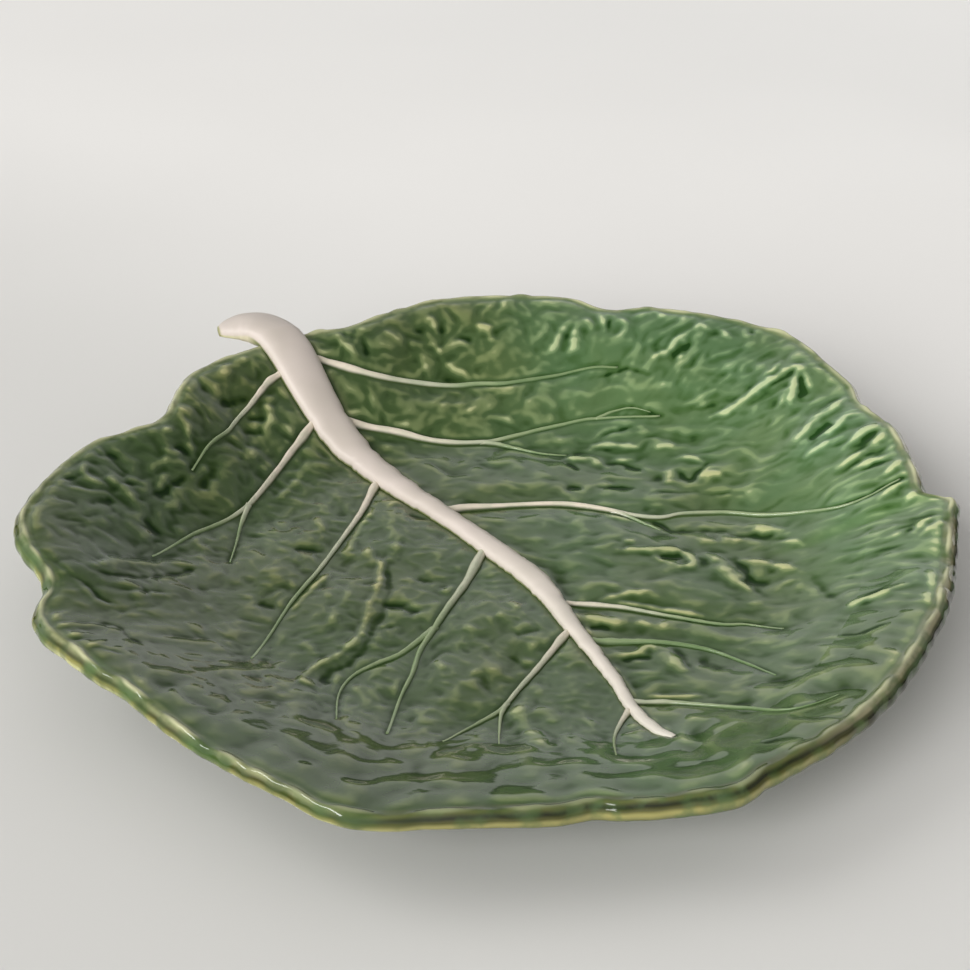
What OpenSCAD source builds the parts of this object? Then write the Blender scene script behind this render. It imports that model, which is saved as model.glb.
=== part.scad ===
// A serving plate in the form of a single cabbage leaf, in glazed earthenware.
// A dished and quilted leaf blade with a rounded, ruffled lip stands on a foot ring.
// A broad raised midrib runs up one wall and passes over the lip as a short curled
// stalk, and raised side veins leave it on both sides and fork.
// The origin is the centre of the foot ring on the table. +Y runs along the midrib
// to the stalk, +Z is up, and angles are counted clockwise from +Y seen from above.

/* [Blade] */
// Mean radius of the leaf outline, to the outside of the lip
leaf_r = 141; // [110:1:180]
// Mean height of the top of the lip above the table
lip_h = 31.5; // [26:0.5:44]
// How much higher than the mean the lip stands behind, and lower in front
lip_rise = 4.5; // [0:0.5:7]
// Height of the waves along the lip
ruffle_h = 2; // [0:0.25:4]
// Thickness of the rounded lip
lip_t = 6; // [4.5:0.5:9]
// Thickness of the clay under the floor
clay_t = 5; // [3.5:0.5:8]
// Radius of the flat floor inside the dish
floor_r = 74; // [60:1:88]

/* [Quilting] */
// Height of the swelling between two veins
quilt_h = 1; // [0:0.1:3]
// Distance over which the blade swells up beside a vein
quilt_w = 11; // [5:0.5:20]
// Height of the crinkles in the blade
crinkle_h = 0.6; // [0:0.1:2]
// Spacing of the crinkles
crinkle_w = 24; // [16:1:40]
// Height of the pleats that run in from the lip
pleat_h = 0.6; // [0:0.1:2]
// Height of the separate folds between the veins
fold_h = 1.6; // [0:0.1:2.5]
// Distance over which a fold falls away to the blade
fold_w = 4; // [3:0.5:8]

/* [Foot] */
// Radius of the foot ring, to the middle of its tread
foot_r = 66; // [50:1:74]
// Height of the foot ring
foot_h = 5; // [4.5:0.5:10]
// Width of the foot ring
foot_w = 7; // [4:0.5:11]
// Rounding of the foot ring's lower edges
foot_round = 1.5; // [0.5:0.1:1.9]

/* [Midrib and stalk] */
// Width of the midrib where it crosses the lip
rib_w = 16.5; // [9:0.5:22]
// Height of the midrib above the blade at the lip
rib_h = 5; // [2.5:0.25:8]
// How far the stalk reaches out past the lip's middle, with its curl drawn out
stalk_out = 18; // [9:0.5:28]
// How far the stalk's tip curls to the left of the midrib
stalk_curl = 17; // [0:0.5:24]
// How far the stalk rises off the lip as it bends over it
stalk_lift = 3.2; // [1:0.2:6]
// Depth of the stalk's rounded underside past the lip
stalk_belly = 4.5; // [0.5:0.25:6]

/* [Side veins] */
// Width of a strong side vein at the midrib
vein_w = 3.2; // [2.5:0.1:8]
// Height of a strong side vein above the blade
vein_h = 1.5; // [1:0.1:4]
// Clearance between the blade or midrib and what is seated on it
seat_gap = 0.1; // [0.05:0.05:0.3]
// How much higher than its vein a side branch is seated
branch_lift = 0.2; // [0.1:0.05:0.5]

/* [Hidden] */

green = [0.20, 0.36, 0.20];
cream = [0.80, 0.75, 0.68];
biscuit = [0.88, 0.85, 0.79];

// Direction in which the lip stands highest, in degrees
tilt_az = 20;
// Number of waves of the pleats round the whole lip
pleat_count = 32;
// Rings of mesh in the blade: ring i has six times i points
rings = 30;
rim_points = 6 * rings;
// Strips round the lip's edge, and under the wall of the dish
edge_strips = 4;
under_strips = 5;

// Where the lip is pressed thinnest, in degrees, by what share, and how locally
thin_az = 235;
thin_share = 0.35;
thin_power = 6;

// The wall of the dish starts gently, steepens and eases off towards the lip
wall_rise = 2.4;
wall_ease = wall_rise - 1;

floor_z = foot_h + clay_t;
// Overrun of a cut below the underside of what it cuts
cut_depth = clay_t / 2;

// The leaf's outline. Each row is an angle in degrees, the radius as a share of
// leaf_r, and the height above the tilted lip as a share of ruffle_h.
outline_shares = [
    [1, 0.984, 0], [7, 0.976, 0], [16, 1.034, 0.05], [23, 1.071, 0.25], [32, 1.083, 0.3],
    [38, 1.097, 0], [41, 1.098, -0.4], [44, 1.077, -0.8], [47, 1.07, -0.5], [51, 1.096, 0],
    [56, 1.101, 0.2], [60, 1.118, 0.3], [66, 1.135, 0], [72, 1.13, -0.1], [79, 1.077, -0.25],
    [85, 1.044, -0.5], [89.5, 0.998, -0.5], [95, 0.986, 0], [99, 0.98, 0.4], [104, 0.96, 0],
    [110, 0.944, 0], [114.5, 0.936, -0.7], [116.5, 0.974, -0.5], [118, 0.985, 0],
    [121.5, 0.97, 0.3], [128, 0.955, -0.4], [131, 0.951, -0.7], [137, 0.95, 0],
    [142, 0.95, 0.2], [149, 0.949, 0.2], [159, 0.961, 0], [167, 0.975, 0], [173, 0.984, 0],
    [183, 1.004, 0], [187, 1.029, 0.1], [193, 1.022, 0.2], [199, 0.998, -0.3],
    [202, 0.981, -0.75], [205.5, 0.999, -0.3], [212, 1.01, 0.1], [218, 1.024, 0],
    [223.5, 1.049, 0], [228, 1.049, 0.15], [232, 1.025, 0.2], [238.5, 0.999, 0],
    [245, 0.981, -0.2], [252.5, 0.969, 0.1], [258.5, 0.965, 0.3], [262, 0.977, 0.4],
    [268, 0.992, 0.5], [273, 1.011, 0.3], [278, 1.004, -0.4], [283, 0.971, -0.7],
    [287, 0.977, -0.1], [291, 1.008, 0.3], [294, 1.023, 0.4], [298, 1.03, 0.5],
    [303.5, 1.019, 0.5], [311.5, 0.997, 0.3], [318, 0.976, 0], [322, 0.937, -0.5],
    [327, 0.908, -0.9], [331, 0.911, -0.7], [337, 0.954, 0.2], [339.5, 0.973, 0.3],
    [344, 0.976, 0.4], [352, 0.98, 0.3]];

// The midrib from its tip to the lip. Each row is x and y as shares of leaf_r, the
// width as a share of rib_w, and the height as a share of rib_h.
midrib_shares = [
    [-0.069, -0.735, 0.1, 0.12], [-0.073, -0.702, 0.17, 0.2], [-0.069, -0.663, 0.2, 0.27],
    [-0.059, -0.61, 0.21, 0.31], [-0.046, -0.555, 0.21, 0.34], [-0.028, -0.49, 0.23, 0.4],
    [-0.014, -0.41, 0.25, 0.44], [-0.001, -0.33, 0.28, 0.48], [0.013, -0.24, 0.34, 0.52],
    [0.029, -0.16, 0.4, 0.56], [0.038, -0.07, 0.48, 0.6], [0.033, 0.02, 0.48, 0.62],
    [0.024, 0.12, 0.46, 0.64], [0.014, 0.22, 0.42, 0.66], [0.001, 0.32, 0.45, 0.7],
    [-0.013, 0.41, 0.53, 0.74], [-0.021, 0.5, 0.6, 0.78], [-0.032, 0.58, 0.66, 0.84],
    [-0.049, 0.66, 0.78, 0.9], [-0.058, 0.74, 0.84, 0.95], [-0.061, 0.82, 0.93, 1],
    [-0.06, 0.905, 1, 1]];
// Where the midrib ends and the stalk takes over
stalk_root = midrib_shares[len(midrib_shares) - 1];

// The stalk past the midrib's end. Each row is the sideways place as a share of
// stalk_curl, the way out as a share of stalk_out, the width and the height as shares
// of rib_w and rib_h, the belly as a share of stalk_belly, and the rise off the lip as a
// share of stalk_lift.
stalk_shares = [
    [0.01, -0.25, 1, 1, 0, 0], [0.05, 0, 1.01, 0.98, 0, 0.2], [0.13, 0.26, 1.02, 0.94, 0.9, 0.5],
    [0.28, 0.5, 1.03, 0.9, 1, 0.68], [0.5, 0.67, 0.97, 0.84, 1, 0.6],
    [0.71, 0.76, 0.8, 0.74, 0.9, 0.45], [0.88, 0.81, 0.56, 0.6, 0.7, 0.35],
    [1, 0.84, 0.3, 0.42, 0.5, 0.3]];

// Folds of the blade that stand out by themselves. Each is its height as a share of
// fold_h and then places along it, x and y as shares of leaf_r.
folds_shares = [
    [1, [-0.21, 0.17], [-0.27, 0.06], [-0.34, -0.02], [-0.4, -0.09], [-0.5, -0.13], [-0.56, -0.17]],
    [0.5, [-0.32, 0.18], [-0.4, 0.13], [-0.47, 0.08]],
    [0.4, [-0.12, 0.38], [-0.21, 0.28], [-0.29, 0.23]],
    [0.8, [-0.82, 0.27], [-0.7, 0.31], [-0.58, 0.3]],
    [0.6, [-0.81, 0.2], [-0.75, 0.2], [-0.67, 0.18]],
    [0.6, [-0.91, 0.12], [-0.85, 0.09], [-0.77, 0.1]],
    [0.8, [-0.42, 0.76], [-0.42, 0.71], [-0.43, 0.67]],
    [0.8, [-0.56, 0.6], [-0.53, 0.62], [-0.47, 0.61]],
    [0.7, [-0.7, 0.64], [-0.7, 0.58], [-0.67, 0.55]],
    [0.8, [-0.15, 0.81], [-0.19, 0.77], [-0.23, 0.71]],
    [0.6, [0, 0.93], [0.04, 0.89], [0.11, 0.85]],
    [0.7, [0.25, 0.86], [0.3, 0.81], [0.36, 0.81]],
    [1, [0.64, 0.74], [0.57, 0.69], [0.54, 0.68]],
    [0.8, [0.73, 0.72], [0.75, 0.64], [0.7, 0.63]],
    [0.8, [0.86, 0.52], [0.82, 0.52], [0.76, 0.51]],
    [1, [0.75, 0.26], [0.84, 0.24], [0.97, 0.24], [0.95, 0.16]],
    [0.8, [0.96, 0.22], [0.88, 0.14]],
    [0.8, [0.97, 0.05], [0.88, 0.04], [0.81, 0.02]],
    [0.8, [0.92, -0.02], [0.84, -0.03]],
    [0.8, [0.93, -0.13], [0.86, -0.17], [0.8, -0.15]],
    [0.7, [0.83, -0.37], [0.79, -0.38]],
    [0.7, [0.78, -0.49], [0.7, -0.49]],
    [0.7, [0.52, -0.63], [0.48, -0.58]],
    [0.7, [0.47, 0.37], [0.51, 0.34], [0.56, 0.3]],
    [0.7, [0.41, 0.39], [0.44, 0.32], [0.46, 0.28]],
    [0.7, [0.6, 0.21], [0.64, 0.15]],
    [1, [0.26, -0.06], [0.32, -0.1], [0.37, -0.17], [0.41, -0.22], [0.4, -0.34]],
    [0.6, [0.57, -0.13], [0.59, -0.28]],
    [0.9, [0.05, -0.41], [0.11, -0.42], [0.11, -0.52]],
    [0.8, [-0.22, -0.44], [-0.25, -0.49], [-0.28, -0.58], [-0.27, -0.65]]];

// Side veins, from the midrib outwards. Each row is x and y as shares of leaf_r.
left_1_shares = [
    [-0.08, 0.866], [-0.121, 0.855], [-0.155, 0.84], [-0.191, 0.814], [-0.236, 0.78],
    [-0.278, 0.751], [-0.317, 0.715], [-0.358, 0.69], [-0.4, 0.658], [-0.458, 0.603]];
left_2_shares = [
    [-0.06, 0.735], [-0.101, 0.716], [-0.146, 0.684], [-0.213, 0.634], [-0.325, 0.539],
    [-0.381, 0.498], [-0.448, 0.463], [-0.52, 0.432], [-0.581, 0.397], [-0.662, 0.345]];
left_2_lower_shares = [[-0.363, 0.511], [-0.41, 0.452], [-0.449, 0.391], [-0.498, 0.318]];
left_3_shares = [
    [-0.03, 0.497], [-0.059, 0.478], [-0.144, 0.384], [-0.23, 0.304], [-0.341, 0.204],
    [-0.445, 0.118], [-0.531, 0.033], [-0.618, -0.055]];
left_4_shares = [
    [0.026, 0.1], [-0.006, 0.081], [-0.091, -0.001], [-0.174, -0.069], [-0.245, -0.131],
    [-0.304, -0.183], [-0.359, -0.25], [-0.426, -0.32], [-0.51, -0.429]];
left_4_upper_shares = [
    [-0.233, -0.121], [-0.338, -0.171], [-0.4, -0.18], [-0.466, -0.197], [-0.52, -0.247],
    [-0.573, -0.344]];
left_5_shares = [
    [0.007, -0.268], [-0.028, -0.289], [-0.116, -0.348], [-0.204, -0.403], [-0.267, -0.444],
    [-0.33, -0.463], [-0.379, -0.48], [-0.43, -0.501]];
left_5_lower_shares = [
    [-0.248, -0.433], [-0.278, -0.46], [-0.313, -0.512], [-0.344, -0.562]];
left_6_shares = [
    [-0.049, -0.569], [-0.078, -0.59], [-0.106, -0.613], [-0.143, -0.65],
    [-0.172, -0.69], [-0.203, -0.742]];
right_1_shares = [
    [-0.055, 0.872], [-0.006, 0.878], [0.027, 0.858], [0.072, 0.822], [0.119, 0.793],
    [0.201, 0.759], [0.287, 0.721], [0.348, 0.698], [0.403, 0.668], [0.465, 0.647],
    [0.588, 0.604], [0.665, 0.55]];
right_2_shares = [
    [-0.06, 0.722], [-0.013, 0.705], [0.044, 0.671], [0.097, 0.638], [0.147, 0.599],
    [0.197, 0.565], [0.253, 0.536], [0.288, 0.524], [0.352, 0.513], [0.417, 0.499],
    [0.488, 0.475], [0.556, 0.441], [0.662, 0.359]];
right_2_twig_shares = [[0.537, 0.452], [0.582, 0.445], [0.622, 0.424], [0.651, 0.384]];
right_2_lower_shares = [
    [0.258, 0.535], [0.292, 0.508], [0.321, 0.472], [0.361, 0.421], [0.408, 0.381]];
right_3_shares = [
    [-0.006, 0.29], [0.063, 0.282], [0.122, 0.258], [0.204, 0.221], [0.278, 0.177],
    [0.34, 0.113], [0.386, 0.054], [0.432, 0.02], [0.485, 0.009], [0.563, -0.036],
    [0.615, -0.112], [0.666, -0.187], [0.71, -0.258], [0.76, -0.294], [0.831, -0.311]];
right_3_lower_shares = [[0.351, 0.1], [0.368, 0.064], [0.381, 0.024], [0.398, -0.026]];
right_4_shares = [
    [0.017, -0.17], [0.063, -0.195], [0.129, -0.247], [0.168, -0.289], [0.204, -0.332],
    [0.25, -0.384], [0.284, -0.416], [0.33, -0.447], [0.363, -0.514]];
right_5_shares = [
    [0, -0.325], [0.056, -0.356], [0.117, -0.392], [0.167, -0.434], [0.212, -0.494],
    [0.227, -0.576], [0.222, -0.667]];
right_6_shares = [
    [-0.046, -0.552], [0.016, -0.598], [0.063, -0.666], [0.095, -0.737], [0.114, -0.802],
    [0.152, -0.842], [0.222, -0.852]];
vein_sets = [
    [left_1_shares], [left_2_shares, left_2_lower_shares], [left_3_shares],
    [left_4_shares, left_4_upper_shares], [left_5_shares, left_5_lower_shares], [left_6_shares],
    [right_1_shares], [right_2_shares, right_2_twig_shares, right_2_lower_shares],
    [right_3_shares, right_3_lower_shares], [right_4_shares], [right_5_shares],
    [right_6_shares]];
// Size of each vein, in the order of vein_sets, as a share of vein_w and vein_h
vein_size_shares = [0.75, 0.85, 0.9, 1, 0.8, 0.6, 0.95, 1, 0.95, 0.7, 0.7, 0.6];
// Width of a vein's tip, and of a side branch, as shares of the vein's own width
tip_share = 0.25;
branch_share = 0.6;
// How much wider and higher a vein is at its root, as a share
flare_share = 0.4;

function clamp01(t) = min(1, max(0, t));
function ease(t) = t * t * (3 - 2 * t);
function mix(a, b, t) = a + (b - a) * t;

// The value of a column between the rows of a table that goes round by the degree
function row_at(tab, a, i = 0) =
    i + 2 < len(tab) && tab[i + 1][0] <= a ? row_at(tab, a, i + 1) : i;
function wrapped(tab) = let (n = len(tab)) concat(
    [for (k = [n - 2 : n - 1]) [tab[k][0] - 360, tab[k][1], tab[k][2]]], tab,
    [for (k = [0 : 1]) [tab[k][0] + 360, tab[k][1], tab[k][2]]]);
outline = wrapped(outline_shares);
function slope(tab, c, k) = (tab[k + 1][c] - tab[k - 1][c]) / (tab[k + 1][0] - tab[k - 1][0]);
function hermite(a, b, ma, mb, t) =
    mix(a, b, ease(t)) + t * (1 - t) * ((1 - t) * ma - t * mb);
function round_at(tab, c, a) = let (
    k = max(1, row_at(tab, a)),
    w = tab[k + 1][0] - tab[k][0])
    hermite(tab[k][c], tab[k + 1][c], slope(tab, c, k) * w, slope(tab, c, k + 1) * w,
        (a - tab[k][0]) / w);

// Bearing of a place on the blade, in degrees clockwise from +Y
function bearing(x, y) = let (a = atan2(x, y)) a < 0 ? a + 360 : a;
function lip_r(a) = leaf_r * round_at(outline, 1, a);
function lip_z(a) = lip_h + lip_rise * cos(a - tilt_az) + ruffle_h * round_at(outline, 2, a);
// Thickness of the lip, less where it is pressed thin
function lip_size(a) = lip_t * (1 - thin_share * pow(max(0, cos(a - thin_az)), thin_power));
// Where the blade's upper face turns over into the lip
function edge_r(a) = lip_r(a) - lip_size(a) / 2;

// How far a place is up the wall, from 0 on the floor to 1 at the lip
function up_wall(r, edge) = clamp01((r - floor_r) / (edge - floor_r));
function wall(t) = wall_rise * t * t - wall_ease * t * t * t;
// Height of the blade's upper face without its relief
function blade_z(x, y) = let (
    a = bearing(x, y),
    t = up_wall(norm([x, y]), edge_r(a)))
    mix(floor_z, lip_z(a), wall(t));
function seat_z(x, y) = blade_z(x, y) + seat_gap;

// Distances on the blade, as shares of leaf_r
function to_line(p, a, b) = let (
    ab = b - a,
    t = clamp01(((p - a) * ab) / (ab * ab)))
    norm(p - a - ab * t);
function to_strand(p, pts) =
    min([for (i = [0 : len(pts) - 2]) to_line(p, pts[i], pts[i + 1])]);
function flat(row) = [row[0], row[1]];
midrib_line = [for (row = midrib_shares) flat(row)];
function to_midrib(p) = min([for (i = [0 : len(midrib_line) - 2])
    to_line(p, midrib_line[i], midrib_line[i + 1])
        - midrib_shares[i + 1][2] * rib_w / leaf_r / 2]);
function to_vein(p) = min([for (s = vein_sets) for (strand = s) to_strand(p, strand)]);

// The blade swells between the veins, is crinkled all over and pleated near the lip,
// and lies smooth in a groove along each vein, as wide as the mesh needs
groove_w = leaf_r / rings;
function crinkle(x, y) = let (
    u = 360 * x / crinkle_w,
    v = 360 * y / crinkle_w)
    (sin(0.8 * u + 70 * sin(0.45 * v)) * sin(0.7 * v + 80 * sin(0.38 * u))
        + 0.6 * sin(0.5 * u - 0.6 * v + 60 * sin(0.3 * u + 0.2 * v))) / 1.6;
function pleat(a, t) = sin(pleat_count * a + 50 * sin(3 * a)) * ease(clamp01(2 * t - 0.6));
function fold(p) = max([for (row = folds_shares) let (
    line = [for (k = [1 : len(row) - 1]) row[k]],
    d = leaf_r / fold_w * to_strand(p, line))
    row[0] * exp(-d * d)]);
function relief(x, y, t) = let (
    p = [x, y] / leaf_r,
    d = leaf_r * min(to_midrib(p), to_vein(p)) - groove_w,
    s = ease(clamp01(d / quilt_w)),
    lip_fade = 1 - 0.7 * ease(clamp01(5 * t - 4)))
    lip_fade * (s * (quilt_h + crinkle_h * crinkle(x, y) + pleat_h * pleat(bearing(x, y), t))
        + ease(clamp01(2 * d / quilt_w)) * fold_h * fold(p));

function polar(r, a) = [r * sin(a), r * cos(a)];
function top_point(i, k) = let (
    a = 60 * k / i,
    edge = edge_r(a),
    p = polar(edge * i / rings, a),
    t = up_wall(norm(p), edge))
    [p[0], p[1], mix(floor_z, lip_z(a), wall(t)) + relief(p[0], p[1], t)];
function edge_point(s, k) = let (
    a = 360 * k / rim_points,
    turn = 180 * s / edge_strips,
    p = polar(edge_r(a) + lip_size(a) / 2 * sin(turn), a))
    [p[0], p[1], lip_z(a) - lip_size(a) / 2 * (1 - cos(turn))];
function under_point(s, k) = let (
    a = 360 * k / rim_points,
    t = 1 - s / under_strips,
    p = polar(mix(floor_r, edge_r(a), t), a))
    [p[0], p[1], mix(foot_h, lip_z(a) - lip_size(a), wall(t))];

// Index of point k on ring i, with ring 0 as the single point in the middle
function at_ring(i, k) = i == 0 ? 0 : 1 + 3 * i * (i - 1) + k % (6 * i);

module leaf_blade() {
    top = concat([[0, 0, floor_z + relief(0, 0, 0)]],
        [for (i = [1 : rings]) for (k = [0 : 6 * i - 1]) top_point(i, k)]);
    edge = [for (s = [1 : edge_strips]) for (k = [0 : rim_points - 1]) edge_point(s, k)];
    under = [for (s = [1 : under_strips]) for (k = [0 : rim_points - 1]) under_point(s, k)];
    first_row = at_ring(rings, 0);
    rows = edge_strips + under_strips;
    outer_faces = [for (i = [1 : rings]) for (sixth = [0 : 5]) for (j = [0 : i - 1])
        [at_ring(i - 1, sixth * (i - 1) + j), at_ring(i, sixth * i + j),
            at_ring(i, sixth * i + j + 1)]];
    inner_faces = [for (i = [2 : rings]) for (sixth = [0 : 5]) for (j = [0 : i - 2])
        [at_ring(i - 1, sixth * (i - 1) + j), at_ring(i, sixth * i + j + 1),
            at_ring(i - 1, sixth * (i - 1) + j + 1)]];
    function in_row(r, k) = first_row + r * rim_points + k % rim_points;
    strip_faces = [for (r = [0 : rows - 1]) for (k = [0 : rim_points - 1]) for (half = [0 : 1])
        half == 0
            ? [in_row(r, k), in_row(r + 1, k), in_row(r + 1, k + 1)]
            : [in_row(r, k), in_row(r + 1, k + 1), in_row(r, k + 1)]];
    base_face = [for (k = [rim_points - 1 : -1 : 0]) in_row(rows, k)];
    polyhedron(concat(top, edge, under),
        concat(outer_faces, inner_faces, strip_faces, [base_face]));
}

// A smooth curve through a list of rows, at a place s counted in rows
function row_or_end(rows, i) = rows[max(0, min(len(rows) - 1, i))];
function along(rows, s) = let (
    i = min(floor(s), len(rows) - 2),
    t = s - i,
    before = row_or_end(rows, i - 1),
    after = row_or_end(rows, i + 2))
    [for (c = [0 : len(rows[0]) - 1])
        hermite(rows[i][c], rows[i + 1][c], (rows[i + 1][c] - before[c]) / 2,
            (after[c] - rows[i][c]) / 2, t)];
// Rows of a curve at a number of steps to each given row
function fine(rows, steps) = [for (k = [0 : (len(rows) - 1) * steps]) along(rows, k / steps)];

// A raised strand. Each row is x, y, width, height, belly and lift, in real sizes. There
// are over steps across its back and under points across its belly. It follows the blade,
// lift above its seat, as far along Y as seat_end, and keeps that height past it. The
// first before rows and the last after rows only give its ends their heading.
module strand(rows, over, under = 0, seat_end = 2 * leaf_r, before = 0, after = 0) {
    last = len(rows) - 1 - before - after;
    around = over + 1 + under;
    function heading(i) = let (
        d = flat(row_or_end(rows, i + 1)) - flat(row_or_end(rows, i - 1)))
        d / norm(d);
    function section(i) = let (
        row = rows[i],
        h = heading(i),
        side = [h[1], -h[0]])
        [for (k = [0 : around - 1]) let (
            turn = k <= over ? 180 * k / over : 180 + 180 * (k - over) / (under + 1),
            p = flat(row) + side * row[2] / 2 * cos(turn),
            rise = sin(turn) * (k <= over ? row[3] : row[4]))
            [p[0], p[1], seat_z(p[0], min(p[1], seat_end)) + row[5] + rise]];
    points = [for (i = [0 : last]) each section(i + before)];
    function at(i, k) = i * around + k % around;
    sides = [for (i = [0 : last - 1]) for (k = [0 : around - 1]) for (half = [0 : 1])
        half == 0
            ? [at(i, k), at(i, k + 1), at(i + 1, k + 1)]
            : [at(i, k), at(i + 1, k + 1), at(i + 1, k)]];
    start = [for (k = [around - 1 : -1 : 0]) at(0, k)];
    end = [for (k = [0 : around - 1]) at(last, k)];
    polyhedron(points, concat(sides, [start, end]));
}

midrib_rows = [for (row = fine(midrib_shares, 2))
    [row[0] * leaf_r, row[1] * leaf_r, row[2] * rib_w, row[3] * rib_h, 0, 0]];

// The stalk starts as the midrib ends, crosses the lip and curls to the left
stalk_base = [stalk_root[0] * leaf_r, edge_r(bearing(stalk_root[0], 1))];
stalk_path = concat([midrib_rows[len(midrib_rows) - 1]],
    [for (row = stalk_shares) [stalk_base[0] - row[0] * stalk_curl,
        stalk_base[1] + row[1] * stalk_out, row[2] * rib_w, row[3] * rib_h,
        row[4] * stalk_belly, row[5] * stalk_lift]]);
stalk_rows = fine(stalk_path, 2);

module midrib_form() {
    strand(concat(midrib_rows, [stalk_rows[1]]), 6, 1, after = 1);
}

module stalk_form() {
    strand(concat([midrib_rows[len(midrib_rows) - 2]], stalk_rows), 6, 5,
        seat_end = stalk_base[1], before = 1);
}

// The space that side veins leave for the midrib, a clearance wider all round
module midrib_space() {
    strand([for (row = midrib_rows) [row[0], row[1], row[2] + 2 * seat_gap,
        row[3] + seat_gap, cut_depth, 0]], 6, 1);
}

// A vein or one of its branches, slimming to its tip
module vein_strand(shares, size, lift) {
    line = fine(shares, 2);
    strand([for (k = [0 : len(line) - 1]) let (
        flare = 1 + flare_share * exp(-k / 2),
        slim = size * flare * mix(1, tip_share, k / (len(line) - 1)))
        [line[k][0] * leaf_r, line[k][1] * leaf_r, vein_w * slim, vein_h * slim, 0, lift]],
        4);
}

// One vein with its branches, cut off where it meets the midrib
module vein(number) {
    strands = vein_sets[number];
    size = vein_size_shares[number];
    difference() {
        union() {
            vein_strand(strands[0], size, 0);
            for (n = [1 : 1 : len(strands) - 1])
                vein_strand(strands[n], size * branch_share, n * branch_lift);
        }
        midrib_space();
    }
}

module leaf() {
    color(green) leaf_blade();
}

module foot_ring() {
    inner = foot_r - foot_w / 2;
    outer = foot_r + foot_w / 2;
    color(biscuit) rotate_extrude($fn = 180) union() {
        translate([inner, foot_round]) square([foot_w, foot_h - foot_round]);
        translate([inner + foot_round, 0]) square([foot_w - 2 * foot_round, foot_h]);
        translate([inner + foot_round, foot_round]) circle(foot_round, $fn = 32);
        translate([outer - foot_round, foot_round]) circle(foot_round, $fn = 32);
    }
}

module midrib() {
    color(cream) midrib_form();
}

module stalk() {
    color(cream) stalk_form();
}

module vein_left_1() { color(cream) vein(0); }
module vein_left_2() { color(cream) vein(1); }
module vein_left_3() { color(cream) vein(2); }
module vein_left_4() { color(cream) vein(3); }
module vein_left_5() { color(cream) vein(4); }
module vein_left_6() { color(cream) vein(5); }
module vein_right_1() { color(cream) vein(6); }
module vein_right_2() { color(cream) vein(7); }
module vein_right_3() { color(cream) vein(8); }
module vein_right_4() { color(cream) vein(9); }
module vein_right_5() { color(cream) vein(10); }
module vein_right_6() { color(cream) vein(11); }

leaf();
foot_ring();
midrib();
stalk();
vein_left_1();
vein_left_2();
vein_left_3();
vein_left_4();
vein_left_5();
vein_left_6();
vein_right_1();
vein_right_2();
vein_right_3();
vein_right_4();
vein_right_5();
vein_right_6();
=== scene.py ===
import math

import bpy
import numpy as np
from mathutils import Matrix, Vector


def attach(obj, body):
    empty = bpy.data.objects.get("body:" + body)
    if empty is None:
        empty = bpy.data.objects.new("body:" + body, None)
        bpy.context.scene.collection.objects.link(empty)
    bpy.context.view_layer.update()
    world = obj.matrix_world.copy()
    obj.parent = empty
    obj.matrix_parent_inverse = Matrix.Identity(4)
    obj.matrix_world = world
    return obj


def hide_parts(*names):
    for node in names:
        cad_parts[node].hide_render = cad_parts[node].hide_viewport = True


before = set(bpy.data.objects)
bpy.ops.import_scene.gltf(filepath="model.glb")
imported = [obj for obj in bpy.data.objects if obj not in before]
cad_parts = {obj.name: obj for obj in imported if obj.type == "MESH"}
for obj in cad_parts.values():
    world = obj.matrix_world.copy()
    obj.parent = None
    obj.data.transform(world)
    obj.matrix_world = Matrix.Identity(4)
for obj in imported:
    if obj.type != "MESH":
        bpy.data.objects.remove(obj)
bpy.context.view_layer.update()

# Sizes of the plate in millimetres, as in the CAD model
leaf_r = 141.0
lip_h = 31.5
lip_rise = 4.5
tilt_az = 20.0
ruffle_h = 2.0
lip_t = 6.0
clay_t = 5.0
floor_r = 74.0
foot_r = 66.0
foot_h = 5.0
foot_w = 7.0
rib_w = 16.5
rib_h = 5.0
stalk_out = 18.0
stalk_curl = 17.0
stalk_lift = 3.2
stalk_belly = 4.5
vein_w = 3.2
vein_h = 1.5
tip_share = 0.25
branch_share = 0.6
flare_share = 0.4
thin_az = 235.0
thin_share = 0.35
thin_power = 6
wall_rise = 2.4
floor_z = foot_h + clay_t
mm = 0.001

# The blade's mesh: rings on its two sides, and rows of points round the lip
blade_rings = 252
under_rings = blade_rings // 2
lip_rows = 18
rim_points = 6 * blade_rings

# How far the lip's own relief reaches in, the way round it to the under side, and how far
# its tones go on from its top over the under side
lip_reach = 5.0
half_round = 9.5
lip_tones_end = 30.0

# Glaze: its pooled share round the lip and on the under side, how much of that is lost with
# each millimetre of a crest, and the width of the steep band inside the lip
lip_pool = 0.4
under_pool = 0.45
crest_thins = 0.25
steep_band = 24.0

# Parts of the lip and the wall: bearing, half width and fade in degrees
gold_lip = (205, 25, 15)
blond_lip = (268, 36, 16)
# The right front, where the lip's outer side is painted near black as shade
shaded_brown_lip = (146, 32, 18)
steep_glaze = (150, 30, 25)
flat_glaze = (195, 70, 30)

# Strands: how far their sides go down into the blade, the share of that at their edges,
# and how high the veins are seated over the relief
strand_sink = 0.9
skirt_share = 0.35
seat_gap = 0.1

# The photograph's camera: how far round and up it stands, and its place in metres
camera_azimuth = math.radians(-30.5)
camera_elevation = math.radians(28.5)
camera_place = (-0.270, -0.448, 0.324)
focal_in_pixels = 2000.0
frame_in_pixels = 970.0
sensor = 36.0

picture_right = Vector((math.cos(camera_azimuth), math.sin(camera_azimuth), 0))
picture_back = Vector((-math.sin(camera_azimuth), math.cos(camera_azimuth), 0))
up = Vector((0, 0, 1))
picture_ahead = picture_back * math.cos(camera_elevation) - up * math.sin(camera_elevation)
picture_up = picture_right.cross(picture_ahead)

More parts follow.
